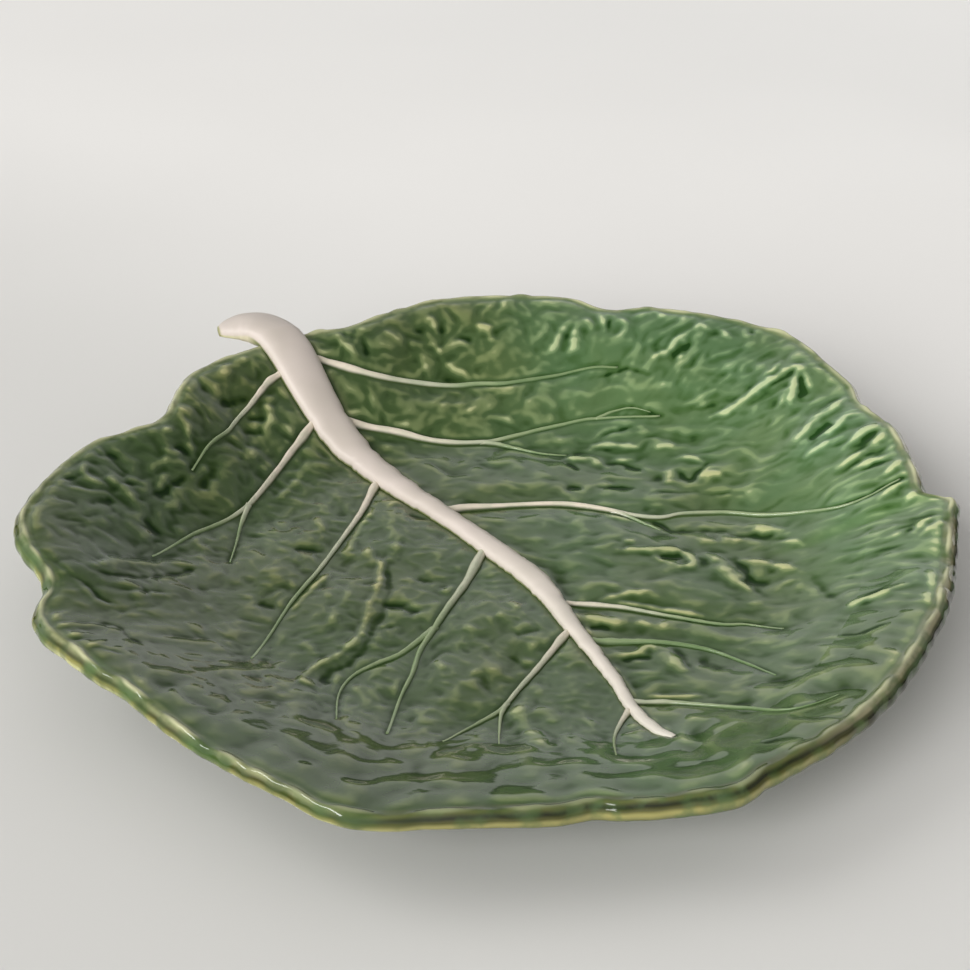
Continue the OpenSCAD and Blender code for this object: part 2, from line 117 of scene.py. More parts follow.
# The leaf's outline: degrees clockwise from +Y, radius share, share of ruffle_h
outline_shares = np.array([
    [1, 0.984, 0], [7, 0.976, 0], [16, 1.034, 0.05], [23, 1.071, 0.25], [32, 1.083, 0.3],
    [38, 1.097, 0], [41, 1.098, -0.4], [44, 1.077, -0.8], [47, 1.07, -0.5], [51, 1.096, 0],
    [56, 1.101, 0.2], [60, 1.118, 0.3], [66, 1.135, 0], [72, 1.13, -0.1], [79, 1.077, -0.25],
    [85, 1.044, -0.5], [89.5, 0.998, -0.5], [95, 0.986, 0], [99, 0.98, 0.4], [104, 0.96, 0],
    [110, 0.944, 0], [114.5, 0.936, -0.7], [116.5, 0.974, -0.5], [118, 0.985, 0],
    [121.5, 0.97, 0.3], [128, 0.955, -0.4], [131, 0.951, -0.7], [137, 0.95, 0],
    [142, 0.95, 0.2], [149, 0.949, 0.2], [159, 0.961, 0], [167, 0.975, 0], [173, 0.984, 0],
    [183, 1.004, 0], [187, 1.029, 0.1], [193, 1.022, 0.2], [199, 0.998, -0.3],
    [202, 0.981, -0.75], [205.5, 0.999, -0.3], [212, 1.01, 0.1], [218, 1.024, 0],
    [223.5, 1.049, 0], [228, 1.049, 0.15], [232, 1.025, 0.2], [238.5, 0.999, 0],
    [245, 0.981, -0.2], [252.5, 0.969, 0.1], [258.5, 0.965, 0.3], [262, 0.977, 0.4],
    [268, 0.992, 0.5], [273, 1.011, 0.3], [278, 1.004, -0.4], [283, 0.971, -0.7],
    [287, 0.977, -0.1], [291, 1.008, 0.3], [294, 1.023, 0.4], [298, 1.03, 0.5],
    [303.5, 1.019, 0.5], [311.5, 0.997, 0.3], [318, 0.976, 0], [322, 0.937, -0.5],
    [327, 0.908, -0.9], [331, 0.911, -0.7], [337, 0.954, 0.2], [339.5, 0.973, 0.3],
    [344, 0.976, 0.4], [352, 0.98, 0.3]])

# The midrib from its tip to the lip: x, y, width share, height share
midrib_shares = [
    [-0.069, -0.735, 0.1, 0.12], [-0.073, -0.702, 0.17, 0.2], [-0.069, -0.663, 0.2, 0.27],
    [-0.059, -0.61, 0.21, 0.31], [-0.046, -0.555, 0.21, 0.34], [-0.028, -0.49, 0.23, 0.4],
    [-0.014, -0.41, 0.25, 0.44], [-0.001, -0.33, 0.28, 0.48], [0.013, -0.24, 0.34, 0.52],
    [0.029, -0.16, 0.4, 0.56], [0.038, -0.07, 0.48, 0.6], [0.033, 0.02, 0.48, 0.62],
    [0.024, 0.12, 0.46, 0.64], [0.014, 0.22, 0.42, 0.66], [0.001, 0.32, 0.45, 0.7],
    [-0.013, 0.41, 0.53, 0.74], [-0.021, 0.5, 0.6, 0.78], [-0.032, 0.58, 0.66, 0.84],
    [-0.049, 0.66, 0.78, 0.9], [-0.058, 0.74, 0.84, 0.95], [-0.061, 0.82, 0.93, 1],
    [-0.06, 0.905, 1, 1]]

# The stalk: sideways and outward shares, width, height, belly and lift shares
stalk_shares = [
    [0.01, -0.25, 1, 1, 0, 0], [0.05, 0, 1.01, 0.98, 0, 0.2], [0.13, 0.26, 1.02, 0.94, 0.9, 0.5],
    [0.28, 0.5, 1.03, 0.9, 1, 0.68], [0.5, 0.67, 0.97, 0.84, 1, 0.6],
    [0.71, 0.76, 0.8, 0.74, 0.9, 0.45], [0.88, 0.81, 0.56, 0.6, 0.7, 0.35],
    [1, 0.84, 0.3, 0.42, 0.5, 0.3]]

# Side veins: size as a share of vein_w and vein_h, where the cream tone starts to fade, how
# pale the tip is, and then the vein from the midrib outwards and each of its branches, as
# x and y of its places in thousandths of leaf_r
vein_rows = {
    "vein_left_1": (0.75, 0.3, 0.3,
        [-80, 866, -121, 855, -155, 840, -191, 814, -236, 780, -278, 751, -317, 715, -358, 690,
         -400, 658, -458, 603]),
    "vein_left_2": (0.85, 0.3, 0.2,
        [-60, 735, -101, 716, -146, 684, -213, 634, -325, 539, -381, 498, -448, 463, -520, 432,
         -581, 397, -662, 345],
        [-363, 511, -410, 452, -449, 391, -498, 318]),
    "vein_left_3": (0.9, 0.2, 0.2,
        [-30, 497, -59, 478, -144, 384, -230, 304, -341, 204, -445, 118, -531, 33, -618, -55]),
    "vein_left_4": (1, -0.2, 0.2,
        [26, 100, -6, 81, -91, -1, -174, -69, -245, -131, -304, -183, -359, -250, -426, -320,
         -510, -429],
        [-233, -121, -338, -171, -400, -180, -466, -197, -520, -247, -573, -344]),
    "vein_left_5": (0.8, 0.0, 0.35,
        [7, -268, -28, -289, -116, -348, -204, -403, -267, -444, -330, -463, -379, -480,
         -430, -501],
        [-248, -433, -278, -460, -313, -512, -344, -562]),
    "vein_left_6": (0.6, 0.1, 0.35,
        [-49, -569, -78, -590, -106, -613, -143, -650, -172, -690, -203, -742]),
    "vein_right_1": (0.95, 0.2, 0.1,
        [-55, 872, -6, 878, 27, 858, 72, 822, 119, 793, 201, 759, 287, 721, 348, 698, 403, 668,
         465, 647, 588, 604, 665, 550]),
    "vein_right_2": (1, 0.2, 0.2,
        [-60, 722, -13, 705, 44, 671, 97, 638, 147, 599, 197, 565, 253, 536, 288, 524, 352, 513,
         417, 499, 488, 475, 556, 441, 662, 359],
        [537, 452, 582, 445, 622, 424, 651, 384],
        [258, 535, 292, 508, 321, 472, 361, 421, 408, 381]),
    "vein_right_3": (0.95, 0.2, 0.22,
        [-6, 290, 63, 282, 122, 258, 204, 221, 278, 177, 340, 113, 386, 54, 432, 20, 485, 9,
         563, -36, 615, -112, 666, -187, 710, -258, 760, -294, 831, -311],
        [351, 100, 368, 64, 381, 24, 398, -26]),
    "vein_right_4": (0.7, 0.0, 0.2,
        [17, -170, 63, -195, 129, -247, 168, -289, 204, -332, 250, -384, 284, -416, 330, -447,
         363, -514]),
    "vein_right_5": (0.7, -0.8, 0.05,
        [0, -325, 56, -356, 117, -392, 167, -434, 212, -494, 227, -576, 222, -667]),
    "vein_right_6": (0.6, -0.4, 0.05,
        [-46, -552, 16, -598, 63, -666, 95, -737, 114, -802, 152, -842, 222, -852])}
veins = {name: (size, start, end, [np.reshape(strand, (-1, 2)) / 1000 for strand in strands])
         for name, (size, start, end, *strands) in vein_rows.items()}


# Folds of the blade as they were read from the picture, one to a line: height and
# half width in millimetres, and then x and y of places along the fold in pixels.
# A negative height is a crease.
fold_table = """
# The left half of the floor
0.75 1 380 562 378 592 369 612 363 632 346 652 322 666 306 676 304 684 318 690
-0.6 1.3 389 570 388 598 378 622 368 644 352 661 332 673 322 682 338 685
0.5 1 340 672 337 680 333 689
0.8 1.2 330 573 318 585 308 594 298 603 288 613
0.6 0.9 288 613 272 632 250 665
0.35 1.6 362 578 352 592 342 608 325 630
0.5 1.6 327 594 329 598
0.4 1.4 306 646 316 656
-0.9 1.6 388 608 398 609
-0.6 0.8 380 632 398 626
0.5 1.2 352 686 367 703
0.5 1.2 398 680 394 700
0.4 2.5 345 700 343 715 355 738
0.6 1.8 417 710 421 722
0.5 1.7 438 666 443 670
0.4 1.5 434 702 438 703
0.4 1.4 374 707 391 710
-0.8 1.6 262 606 270 608
0.6 1.2 308 463 302 475 290 492 270 502
0.35 0.8 318 446 327 453 336 466
0.3 0.8 316 470 331 467
0.4 1.4 346 470 350 477
0.6 1.4 315 519 322 532
0.4 1.4 281 526 283 530
0.3 1.2 262 536 273 535
-0.9 2 300 551 314 551
0.4 1.6 297 540 307 536 318 546
0.7 1.3 372 511 361 526 352 545 345 556
0.5 1.2 344 554 349 556
0.3 1.4 332 562 350 556
0.6 1.8 368 555 374 566
0.5 1 382 504 395 504 387 511
0.3 1.8 391 520 394 545 399 560
-0.6 1.2 414 517 424 519
-0.9 1.8 394 607 414 613
-0.5 1.2 418 582 430 582
0.4 1 447 592 451 588
0.35 1.8 275 574 276 584
0.3 0.9 291 578 294 592
# The floor in front, on both sides of vein left 5
0.4 1.4 466 630 472 633 471 640
0.4 1.6 492 622 500 618
0.5 1.3 512 606 517 610
0.5 1.1 519 630 526 627
0.4 1.2 524 664 529 662
0.5 1.8 536 647 552 637
-0.6 1.4 520 637 535 633
-0.6 2.2 511 650 513 672
0.5 1.2 473 676 479 676
0.4 1.4 464 686 469 686
0.4 1.6 490 674 510 679
-0.6 2 482 676 490 696
0.4 1.4 476 708 481 706
0.4 1 545 666 560 655
0.4 2.2 533 690 538 692
1 2.2 524 702 519 712 524 728 534 742 548 750 562 748
0.3 3 548 716 556 722
0.4 1.8 584 722 596 726
0.3 0.9 628 727 641 725
0.3 0.9 626 735 648 741
# The left wall
0.7 1.9 100 567 115 565 142 566 160 568 180 567 195 570
-0.7 1.1 92 569 105 575 125 578 150 580 165 578 198 572
0.5 1.2 110 586 128 587 140 590
0.5 1.2 125 596 140 599 180 600
0.5 1.1 112 620 125 618 150 620
0.5 1.2 28 555 40 560 55 565
0.6 1.1 38 632 55 630 90 627 112 632
0.5 1.2 50 625 60 618 75 612
0.4 1.1 85 652 95 648 108 643
-0.5 0.8 42 559 55 564 70 577 85 585 100 600 115 608
-0.5 0.8 84 588 95 595 118 608
-0.4 0.8 120 592 165 596
-0.4 0.8 112 611 125 614 160 609
-0.5 0.8 100 625 118 628 130 640 147 647
-0.5 0.8 88 650 100 652 115 656 125 658
-0.8 0.9 65 641 87 641
0.5 0.7 66 637 88 637
# Behind on the left
1.1 1.3 181 417 187 430 190 443
0.6 1 190 448 193 451
0.7 1 165 453 172 456 179 454
0.8 1.3 148 475 160 468 175 464 187 468
0.7 1.2 158 492 163 483 170 478
0.7 1.2 84 463 85 475 92 482 110 490
0.9 2 112 484 122 490 131 499
0.6 1.1 130 482 142 486
0.7 1 162 438 171 429
0.5 1 113 437 122 440
0.5 1.1 132 428 150 434
0.5 1.2 165 512 180 503
-0.9 1.4 181 451 185 454
-0.8 1.4 190 475 165 495 150 498
-0.8 2.2 148 527 153 530
-0.6 1.8 170 513 198 511
-0.8 1.8 213 471 203 489
-0.7 1.2 60 482 80 478
-0.6 1.6 100 456 112 457
-0.6 1.6 95 506 110 503
0.4 0.6 180 387 186 397 198 408 212 428
0.3 0.6 185 386 194 398 206 410 216 424
1 1.5 277 393 268 404 270 415 268 425 265 432
0.6 1.3 286 430 289 433
0.5 0.9 287 442 291 444
-0.9 1.4 250 420 263 421
-0.8 1.4 250 433 259 434
0.5 2 225 371 227 377
0.6 1 252 366 255 379
0.6 1.7 254 385 257 389
-0.7 2.6 205 392 224 404
-0.7 2.2 226 402 246 402
0.4 1 244 464 251 457
0.4 1.4 212 412 219 419
# Behind
0.8 1.2 340 344 350 351 363 359
0.8 1.2 310 343 320 352 331 354
0.7 1.2 340 402 348 413 368 415
0.5 1.1 412 346 427 346
0.6 1.1 425 326 431 322 438 336
0.6 1.1 433 346 440 354
0.6 1.1 449 349 460 346 470 351
0.9 1.4 480 330 488 333 492 341
0.7 1.3 443 360 452 368 470 378
0.6 1.2 412 378 425 370 433 365
0.5 1.1 387 336 396 341
0.6 1.1 492 304 484 317
0.6 1.1 508 303 497 317
0.5 1.1 432 408 465 408
0.8 1.1 462 419 475 412
0.6 1.2 380 389 409 396
0.7 1.2 483 423 502 421 516 426
-0.9 1.3 342 331 348 344
-0.9 1.3 353 328 352 344
-0.8 1.2 363 341 366 354
-0.8 1.6 419 332 423 334
-0.8 1.4 461 341 469 342
-0.8 1.4 443 381 464 382
-0.7 1.2 444 325 441 339
# Behind on the right
1.2 1.5 568 328 562 336 556 349 546 357
1.2 1.6 578 330 576 338 573 351 563 358
0.7 1.3 548 328 540 338 535 345
0.7 1.2 587 325 591 333
0.8 1.2 599 316 604 333
0.8 1.2 614 319 626 328 621 337 611 342
1 1.2 688 336 677 343 668 352 656 361
-1 1.5 692 342 682 352 672 362
0.9 1.7 684 345 681 356 678 369
0.35 1.6 664 388 669 388
0.6 0.9 605 416 620 411 634 408 652 412
0.5 1.4 687 405 703 399 711 389
0.6 1 696 409 712 403
0.6 1.1 634 320 652 314
0.6 1.1 655 312 663 318
0.7 1.2 692 335 700 328 709 333
0.7 1.2 717 330 732 341
-0.9 1.2 610 320 608 334
-0.7 1 530 378 578 372 600 362
-0.6 1 600 377 626 371 648 378
-0.6 1 752 330 751 339
# The rim on the right
1.2 1.7 711 420 726 415 750 400 772 384 794 371 802 376 809 388
0.6 1 764 381 774 374 780 364
0.9 1.4 796 377 792 392 790 408
-1.1 1.5 800 377 803 388 802 402
0.6 1.1 786 394 777 411
1.1 1.8 846 400 831 412 818 421 803 435 796 442
1 1.4 848 418 841 425 831 433 820 440
1 1.4 842 441 828 448 806 460
1.1 1.9 880 428 867 433 857 441 843 452
0.9 1.5 885 432 877 444 867 453 840 470
1 1.6 894 456 880 461 867 466 853 472
0.8 1.3 903 461 892 471 878 480
0.8 1.3 903 483 890 492 881 499
0.5 0.8 908 472 893 480 877 489 861 496
-0.9 1.4 827 429 812 440
-0.9 1.3 875 434 861 447
-0.9 1.3 890 463 864 473
-0.6 1 818 367 835 376 859 397
1 1.1 920 490 912 498 904 507
0.8 1.2 940 519 925 525 910 539
0.8 1.2 952 540 945 528 935 529 921 540
0.7 1.3 930 577 932 592
0.6 1.2 925 599 931 606
0.8 1.2 840 508 862 501 880 492 904 476
0.7 1.1 880 501 890 494 899 486
1.2 1.9 885 597 875 601 855 606
0.8 1.2 912 587 893 593 885 597
# The right half of the floor
0.9 1.2 590 451 600 447 637 450
1 1.8 565 455 576 460 592 462 607 469
-0.8 1 569 466 577 471
0.6 1 611 462 633 462
-0.8 1.1 623 466 644 474
0.8 1.1 675 462 688 461 703 466
-0.8 1.3 678 474 688 484 698 476 706 468
0.8 2.2 707 478 717 479
0.6 1.6 669 477 668 484
0.6 1.5 640 431 644 433
0.6 1.2 659 450 670 450
0.7 2 726 543 734 543
0.7 2.4 705 543 709 544
0.6 1.6 627 545 632 545
0.5 1.8 641 623 646 625
0.5 1.8 664 627 671 627
-1 1.6 571 490 578 490
-1 1.3 600 490 632 490
-0.7 0.9 600 439 613 434 631 428
-0.5 0.8 648 498 669 495 728 496 746 500
0.8 1.1 605 516 624 521 643 524 665 531
-0.8 1.2 648 516 660 524 672 531
-0.6 1.8 667 531 720 533 741 538 784 539
0.9 2.2 749 528 768 533 786 535
0.8 1.3 776 546 790 544 803 548
1.1 1.5 618 553 650 554 675 554 688 560 693 568 680 571
0.8 1.3 655 560 669 566 679 570
-0.9 1.2 665 560 676 561
1.1 2.6 697 558 714 561 724 573 736 584 748 592
-0.6 1.8 738 562 745 574 754 590 764 597
0.9 1.6 744 563 760 566 776 570 802 574
-0.8 2.2 752 583 764 585
0.5 1.4 778 591 785 585 798 583
0.9 1.1 581 602 595 605 624 606 646 608 662 612 700 618
0.7 1.2 602 600 624 597 650 595
0.8 2 590 618 602 622 616 623
-0.9 1.2 592 628 606 629
0.5 1.1 722 626 733 624 749 625
-0.5 0.8 730 622 773 624
0.9 1.2 626 654 640 653 650 645 656 652
1.2 2.8 659 648 672 661 684 673
-0.6 1.8 675 648 683 660 692 675
-0.8 3 704 662 716 668
-0.9 1.5 628 659 646 659
0.6 0.9 650 697 680 698 706 697
0.5 2.2 800 588 812 592
-0.3 1.7 813 577 820 588 832 597 846 604
-0.4 0.8 840 581 856 580
0.4 1.5 690 722 704 722
# From the midrib's tip onto the wall in front
0.6 2 676 737 688 743 706 748
# Creases along the wall in front on the right
-0.5 0.7 855 715 837 719 801 721 785 717
-0.6 0.8 801 739 777 741 757 747
-0.6 0.7 890 624 857 636 837 636
-0.6 0.7 797 671 813 669
"""
folds = [[float(word) for word in row.split()] for row in fold_table.splitlines()
         if row and row[0] != "#"]


def clamp01(t):
    return np.clip(t, 0.0, 1.0)


def ease(t):
    t = clamp01(t)
    return t * t * (3 - 2 * t)


def mix(a, b, t):
    return a + (b - a) * t


def bearing(x, y):
    return np.degrees(np.arctan2(x, y)) % 360


def hermite(a, b, slope_a, slope_b, t):
    return mix(a, b, t * t * (3 - 2 * t)) + t * (1 - t) * ((1 - t) * slope_a - t * slope_b)


def round_at(column, angle):
    """A column of the outline at each angle, smooth and periodic."""
    rows = outline_shares
    x = np.concatenate([rows[-2:, 0] - 360, rows[:, 0], rows[:2, 0] + 360])
    y = np.concatenate([rows[-2:, column], rows[:, column], rows[:2, column]])
    slope = np.zeros_like(y)
    slope[1:-1] = (y[2:] - y[:-2]) / (x[2:] - x[:-2])
    k = np.clip(np.searchsorted(x, angle, side="right") - 1, 1, len(x) - 3)
    w = x[k + 1] - x[k]
    return hermite(y[k], y[k + 1], slope[k] * w, slope[k + 1] * w, (angle - x[k]) / w)


def lip_z(a):
    return lip_h + lip_rise * np.cos(np.radians(a - tilt_az)) + ruffle_h * round_at(2, a)


def lip_size(a):
    thin = np.maximum(0, np.cos(np.radians(a - thin_az))) ** thin_power
    return lip_t * (1 - thin_share * thin)


def edge_r(a):
    return leaf_r * round_at(1, a) - lip_size(a) / 2


def up_wall(r, edge):
    return clamp01((r - floor_r) / (edge - floor_r))


def wall(t):
    return wall_rise * t * t - (wall_rise - 1) * t ** 3


def blade_z(x, y):
    a = bearing(x, y)
    return mix(floor_z, lip_z(a), wall(up_wall(np.hypot(x, y), edge_r(a))))


def smooth_rows(rows, steps):
    """A curve through the rows, with a number of steps to each row."""
    rows = np.array(rows, float)
    last = len(rows) - 1
    s = np.arange(last * steps + 1) / steps
    i = np.minimum(s.astype(int), last - 1)
    t = (s - i)[:, None]
    before, after = rows[np.maximum(i - 1, 0)], rows[np.minimum(i + 2, last)]
    a, b = rows[i], rows[i + 1]
    return hermite(a, b, (b - before) / 2, (after - a) / 2, t)


# Noise on a lattice of slopes drawn from a seed
lattice = 128


def noise(x, y, seed):
    turn = np.random.RandomState(seed).rand(lattice, lattice) * 2 * np.pi
    gx, gy = np.cos(turn), np.sin(turn)
    i, j = np.floor(x).astype(int), np.floor(y).astype(int)
    u, v = x - i, y - j
    fu, fv = u ** 3 * (u * (u * 6 - 15) + 10), v ** 3 * (v * (v * 6 - 15) + 10)

    def corner(di, dj):
        a, b = (i + di) % lattice, (j + dj) % lattice
        return gx[a, b] * (u - di) + gy[a, b] * (v - dj)

    return 1.5 * mix(mix(corner(0, 0), corner(1, 0), fu), mix(corner(0, 1), corner(1, 1), fu), fv)


def crests(n, width):
    """Ridges along the zero lines of a noise, 1 on the crest and 0 away from it."""
    return np.exp(-(n / width) ** 2)


# The map of the blade's relief, on a square grid in millimetres: bearing, the lip's
# distance from the middle, the place's own, and its share of the way up the wall
cell = 0.5
reach = 166.0
far_off = 1e9
axis = np.arange(-reach, reach + cell / 2, cell)
GX, GY = np.meshgrid(axis, axis, indexing="ij")
G_A = bearing(GX, GY)
G_EDGE = edge_r(G_A)
G_R = np.hypot(GX, GY)
G_T = up_wall(G_R, G_EDGE)


def blur(field, sigma):
    """Smooths a field of the map over a distance in millimetres."""
    n = len(axis)
    f = np.fft.fftfreq(n, cell)
    gain = np.exp(-2 * (np.pi * sigma) ** 2 * (f[:, None] ** 2 + f[None, :] ** 2))
    return np.real(np.fft.ifft2(np.fft.fft2(field) * gain))


def to_segment(x, y, a, d):
    """Distance from each place to the stretch d that starts at a, and how far along it."""
    t = clamp01(((x - a[0]) * d[0] + (y - a[1]) * d[1]) / (d @ d))
    return np.hypot(x - a[0] - t * d[0], y - a[1] - t * d[1]), t


def to_line(x, y, line, half):
    """Distance from each place to a line, less the line's half width there."""
    best = np.full(x.shape, far_off)
    for k, d in enumerate(np.diff(line, axis=0)):
        gap, t = to_segment(x, y, line[k], d)
        best = np.minimum(best, gap - mix(half[k], half[k + 1], t))
    return best


def on_coarse_grid(make):
    """Works a slow field out on every fourth line of the grid and fills in between."""
    step = 4
    return sample(make(GX[::step, ::step], GY[::step, ::step]), step * cell, GX, GY)


def sample(field, spacing, x, y):
    """Reads a field of the map at some places, in between its lines too."""
    n = len(field)
    u, v = (x + reach) / spacing, (y + reach) / spacing
    i, j = np.clip(u.astype(int), 0, n - 2), np.clip(v.astype(int), 0, n - 2)
    s, t = u - i, v - j
    return mix(mix(field[i, j], field[i + 1, j], s),
               mix(field[i, j + 1], field[i + 1, j + 1], s), t)


def vein_distance(x, y):
    best = np.full(x.shape, far_off)
    for size, _, _, strands in veins.values():
        for n, shares in enumerate(strands):
            line = smooth_rows(shares, 3) * leaf_r
            width = vein_w * size * (1 if n == 0 else branch_share)
            slim = mix(1, tip_share, np.linspace(0, 1, len(line)))
            best = np.minimum(best, to_line(x, y, line, width / 2 * slim))
    return best


def midrib_distance(x, y):
    rows = smooth_rows(midrib_shares, 3)
    return to_line(x, y, rows[:, :2] * leaf_r, rows[:, 2] * rib_w / 2)


D_VEIN = on_coarse_grid(vein_distance)
D_RIB = on_coarse_grid(midrib_distance)
D_ANY = np.minimum(D_VEIN, D_RIB)


def sector(a, centre, half, soft):
    """1 within half a width of a bearing, fading out over soft degrees."""
    gap = np.abs((a - centre + 180) % 360 - 180)
    return ease((half + soft - gap) / soft)


def zone(centre, half, soft):
    """The part of the map round a bearing."""
    return sector(G_A, centre, half, soft)


def above(t, soft):
    """The part of the map beyond a share of the way up the wall."""
    return ease((G_T - t) / soft)


# Directions that the crinkles follow: along the veins on the two sides of the midrib,
# and in from the lip
vein_turn = np.radians(40)
SIDE = np.where(GX > np.interp(GY, [-100, -20, 0, 70, 130], [-13, 3, 2.5, -4, -10]), 1.0, -1.0)
ALONG = SIDE * GX * math.cos(vein_turn) - GY * math.sin(vein_turn)
ACROSS = SIDE * GX * math.sin(vein_turn) + GY * math.cos(vein_turn)
ROUND = np.radians(G_A) * leaf_r
INWARD = G_EDGE - G_R


def shift(seed, large, long, small, short):
    """A shift of places on the map: a large one in long waves and a small one in short."""
    return large * noise(GX / long, GY / long, seed) + small * noise(GX / short, GY / short, seed + 1)


warp_x, warp_y = (shift(seed, 4, 13, 1.5, 5) for seed in (1, 3))
wobble_x, wobble_y = (shift(seed, 0.7, 6, 0.35, 2.2) for seed in (5, 7))


def warped(x, y, size_x, size_y, seed, warp=1.0):
    """Noise on the map with its places shifted, and the sizes of its waves in millimetres."""
    return noise((x + warp * warp_x) / size_x, (y + warp * warp_y) / size_y, seed)


def knots(size, seed, width):
    """Short interlaced ridges, as on a crinkled leaf."""
    return crests(warped(GX, GY, size, size, seed), width)


def streaks(size, stretch, seed, width):
    """Ridges that run along the veins."""
    return crests(warped(ALONG, ACROSS, size * stretch, size, seed), width)


def pleats(size, stretch, seed, width):
    """Ridges that run in from the lip."""
    lean = ROUND + 0.25 * INWARD + 0.5 * warp_x
    return crests(noise(lean / size, (INWARD + warp_y) / (size * stretch), seed), width)


def blisters(n):
    """Rounded swellings with a crease along the zero lines of a noise."""
    return np.sqrt(n ** 2 + 0.002)


def on_blade(places):
    """The places on the blade, in millimetres, that the picture shows at some pixels."""
    off = (np.array(places, float) - frame_in_pixels / 2) / focal_in_pixels
    ray = (np.array(picture_ahead) + off[:, :1] * np.array(picture_right)
           - off[:, 1:] * np.array(picture_up))
    eye = np.array(camera_place) / mm
    z = np.full(len(ray), floor_z)
    for _ in range(40):
        spot = eye + ray * ((z - eye[2]) / ray[:, 2])[:, None]
        z = (z + blade_z(spot[:, 0], spot[:, 1])) / 2
    return spot[:, :2]


def fold_map():
    """The separate folds, each falling away from its line and dying out at its ends."""
    total = np.zeros_like(GX)
    for height, width, *places in folds:
        line = on_blade(np.reshape(places, (-1, 2)))
        if len(line) > 2:
            line = smooth_rows(line, 4)
        fade = 3 * width
        stretches = np.diff(line, axis=0)
        steps = np.hypot(*stretches.T)
        start = np.concatenate([[0], np.cumsum(steps)])
        low = ((line.min(0) - fade + reach) / cell).astype(int)
        high = ((line.max(0) + fade + reach) / cell).astype(int) + 1
        part = np.s_[low[0]:high[0], low[1]:high[1]]
        x, y = GX[part] + wobble_x[part], GY[part] + wobble_y[part]
        best, run = np.full(x.shape, far_off), np.zeros(x.shape)
        for k, d in enumerate(stretches):
            gap, t = to_segment(x, y, line[k], d)
            run = np.where(gap < best, start[k] + t * steps[k], run)
            best = np.minimum(best, gap)
        end = np.minimum(run, start[-1] - run)
        full = mix(0.35, 1, ease(end / fade)) if start[-1] > 5 * width else 1.0
        total[part] += height * full * np.exp(-(best / (width * mix(0.6, 1, full))) ** 2)
    return total


def relief_map():
    """The relief of the blade's upper side in millimetres, part by part of the leaf."""
    crinkled = np.maximum(zone(312, 26, 14) * above(0.1, 0.3), zone(5, 30, 18) * above(0.05, 0.3))
    right_back = zone(90, 38, 12) * above(0.35, 0.35)
    right_front = zone(140, 18, 12) * above(0.3, 0.3)
    front = zone(207, 50, 12) * above(0.15, 0.35)
    left = zone(268, 16, 10) * above(0.1, 0.3)
    right_floor = (SIDE > 0) * (1 - above(0.25, 0.3))
    left_floor = (SIDE < 0) * (1 - above(0.2, 0.3))
    low_right_wall = zone(68, 22, 14) * above(0.02, 0.2) * (1 - above(0.55, 0.3))

    swell = noise(GX / 26, GY / 26, 11)
    lumps = warped(GX, GY, 9, 9, 12)
    small = warped(GX, GY, 4, 4, 13, 0.3)
    h = 0.9 * ease((D_ANY - 0.5) / 11) + 0.7 * swell + 0.15 * lumps
    h += crinkled * (0.65 * blisters(warped(GX, GY, 8, 8, 21, 0.8))
                     + 0.28 * blisters(warped(GX, GY, 4, 4, 22, 0.8))
                     + 0.2 * knots(9, 23, 0.16) + 0.3 * lumps)
    h += right_back * (0.25 * pleats(5.5, 3.2, 31, 0.25) + 0.2 * lumps + 0.1 * small
                       + 0.5 * blisters(warped(ROUND, INWARD, 6, 16, 37)))
    h += right_front * (0.25 * pleats(8, 3, 32, 0.3) + 0.2 * lumps)
    h -= front * (0.15 * lumps + 0.4 * swell)
    h += front * 0.85 * warped(ROUND, INWARD, 12, 10, 34, 0.6)
    h += left * (0.25 * knots(8, 35, 0.3) + 0.4 * noise(ROUND / 6, INWARD / 18, 36))
    h += right_floor * (0.15 * streaks(6, 3.2, 41, 0.3) + 0.2 * lumps + 0.08 * small
                        + 0.35 * blisters(warped(ALONG, ACROSS, 18, 6, 42)))
    h += low_right_wall * 0.3 * streaks(7, 4, 45, 0.3)
    h += left_floor * (0.2 * lumps + 0.24 * np.maximum(small, -0.2) + 0.24 * knots(5, 43, 0.25))
    h += fold_map() * (1 + 0.35 * small)
    groove = 0.18 * np.exp(-(np.maximum(D_ANY, 0) / 0.9) ** 2)
    calm = ease((D_ANY + 0.4) / 2.6)
    lip_fade = 1 - 0.75 * ease((G_T - 0.93) / 0.07)
    bead = (SIDE > 0) * ease((40 - GY) / 30) * np.exp(-((D_RIB - 0.8) / 0.6) ** 2)
    return calm * lip_fade * h - groove + 0.6 * bead * clamp01(0.5 + noise(GX / 4, GY / 4, 44))


BODY = relief_map()
COAT = blur(BODY, 0.45)
DEEP = blur(BODY, 3.0)
# The glaze levels the finest relief and the recesses, and is thin on the crests and
# deep beside them, more so where STRONG is high
SURFACE = mix(COAT, blur(BODY, 1.5), 0.35)
SURFACE = SURFACE + 0.3 * np.maximum(DEEP - SURFACE, 0)
STRONG = 1 - 0.3 * (SIDE < 0) * (1 - above(0.1, 0.3)) - 0.25 * zone(230, 50, 20) * above(0.1, 0.3)
STRONG -= 0.3 * zone(345, 60, 15) * above(0.05, 0.3)
even_glaze = (0.5 + 0.06 * zone(318, 26, 14) * above(0.02, 0.3)
              - 0.06 * zone(8, 26, 14) * above(0.05, 0.3)
              - 0.02 * zone(62, 26, 14) * above(0.5, 0.3))
POOL = clamp01(even_glaze - STRONG * (0.65 * (COAT - DEEP) + 0.9 * (COAT - blur(COAT, 1.0))))


def noise_along(run, length, seed):
    """Noise along a line, with its distance and the length of a wave in millimetres."""
    return noise(run / length, 0 * run, seed)


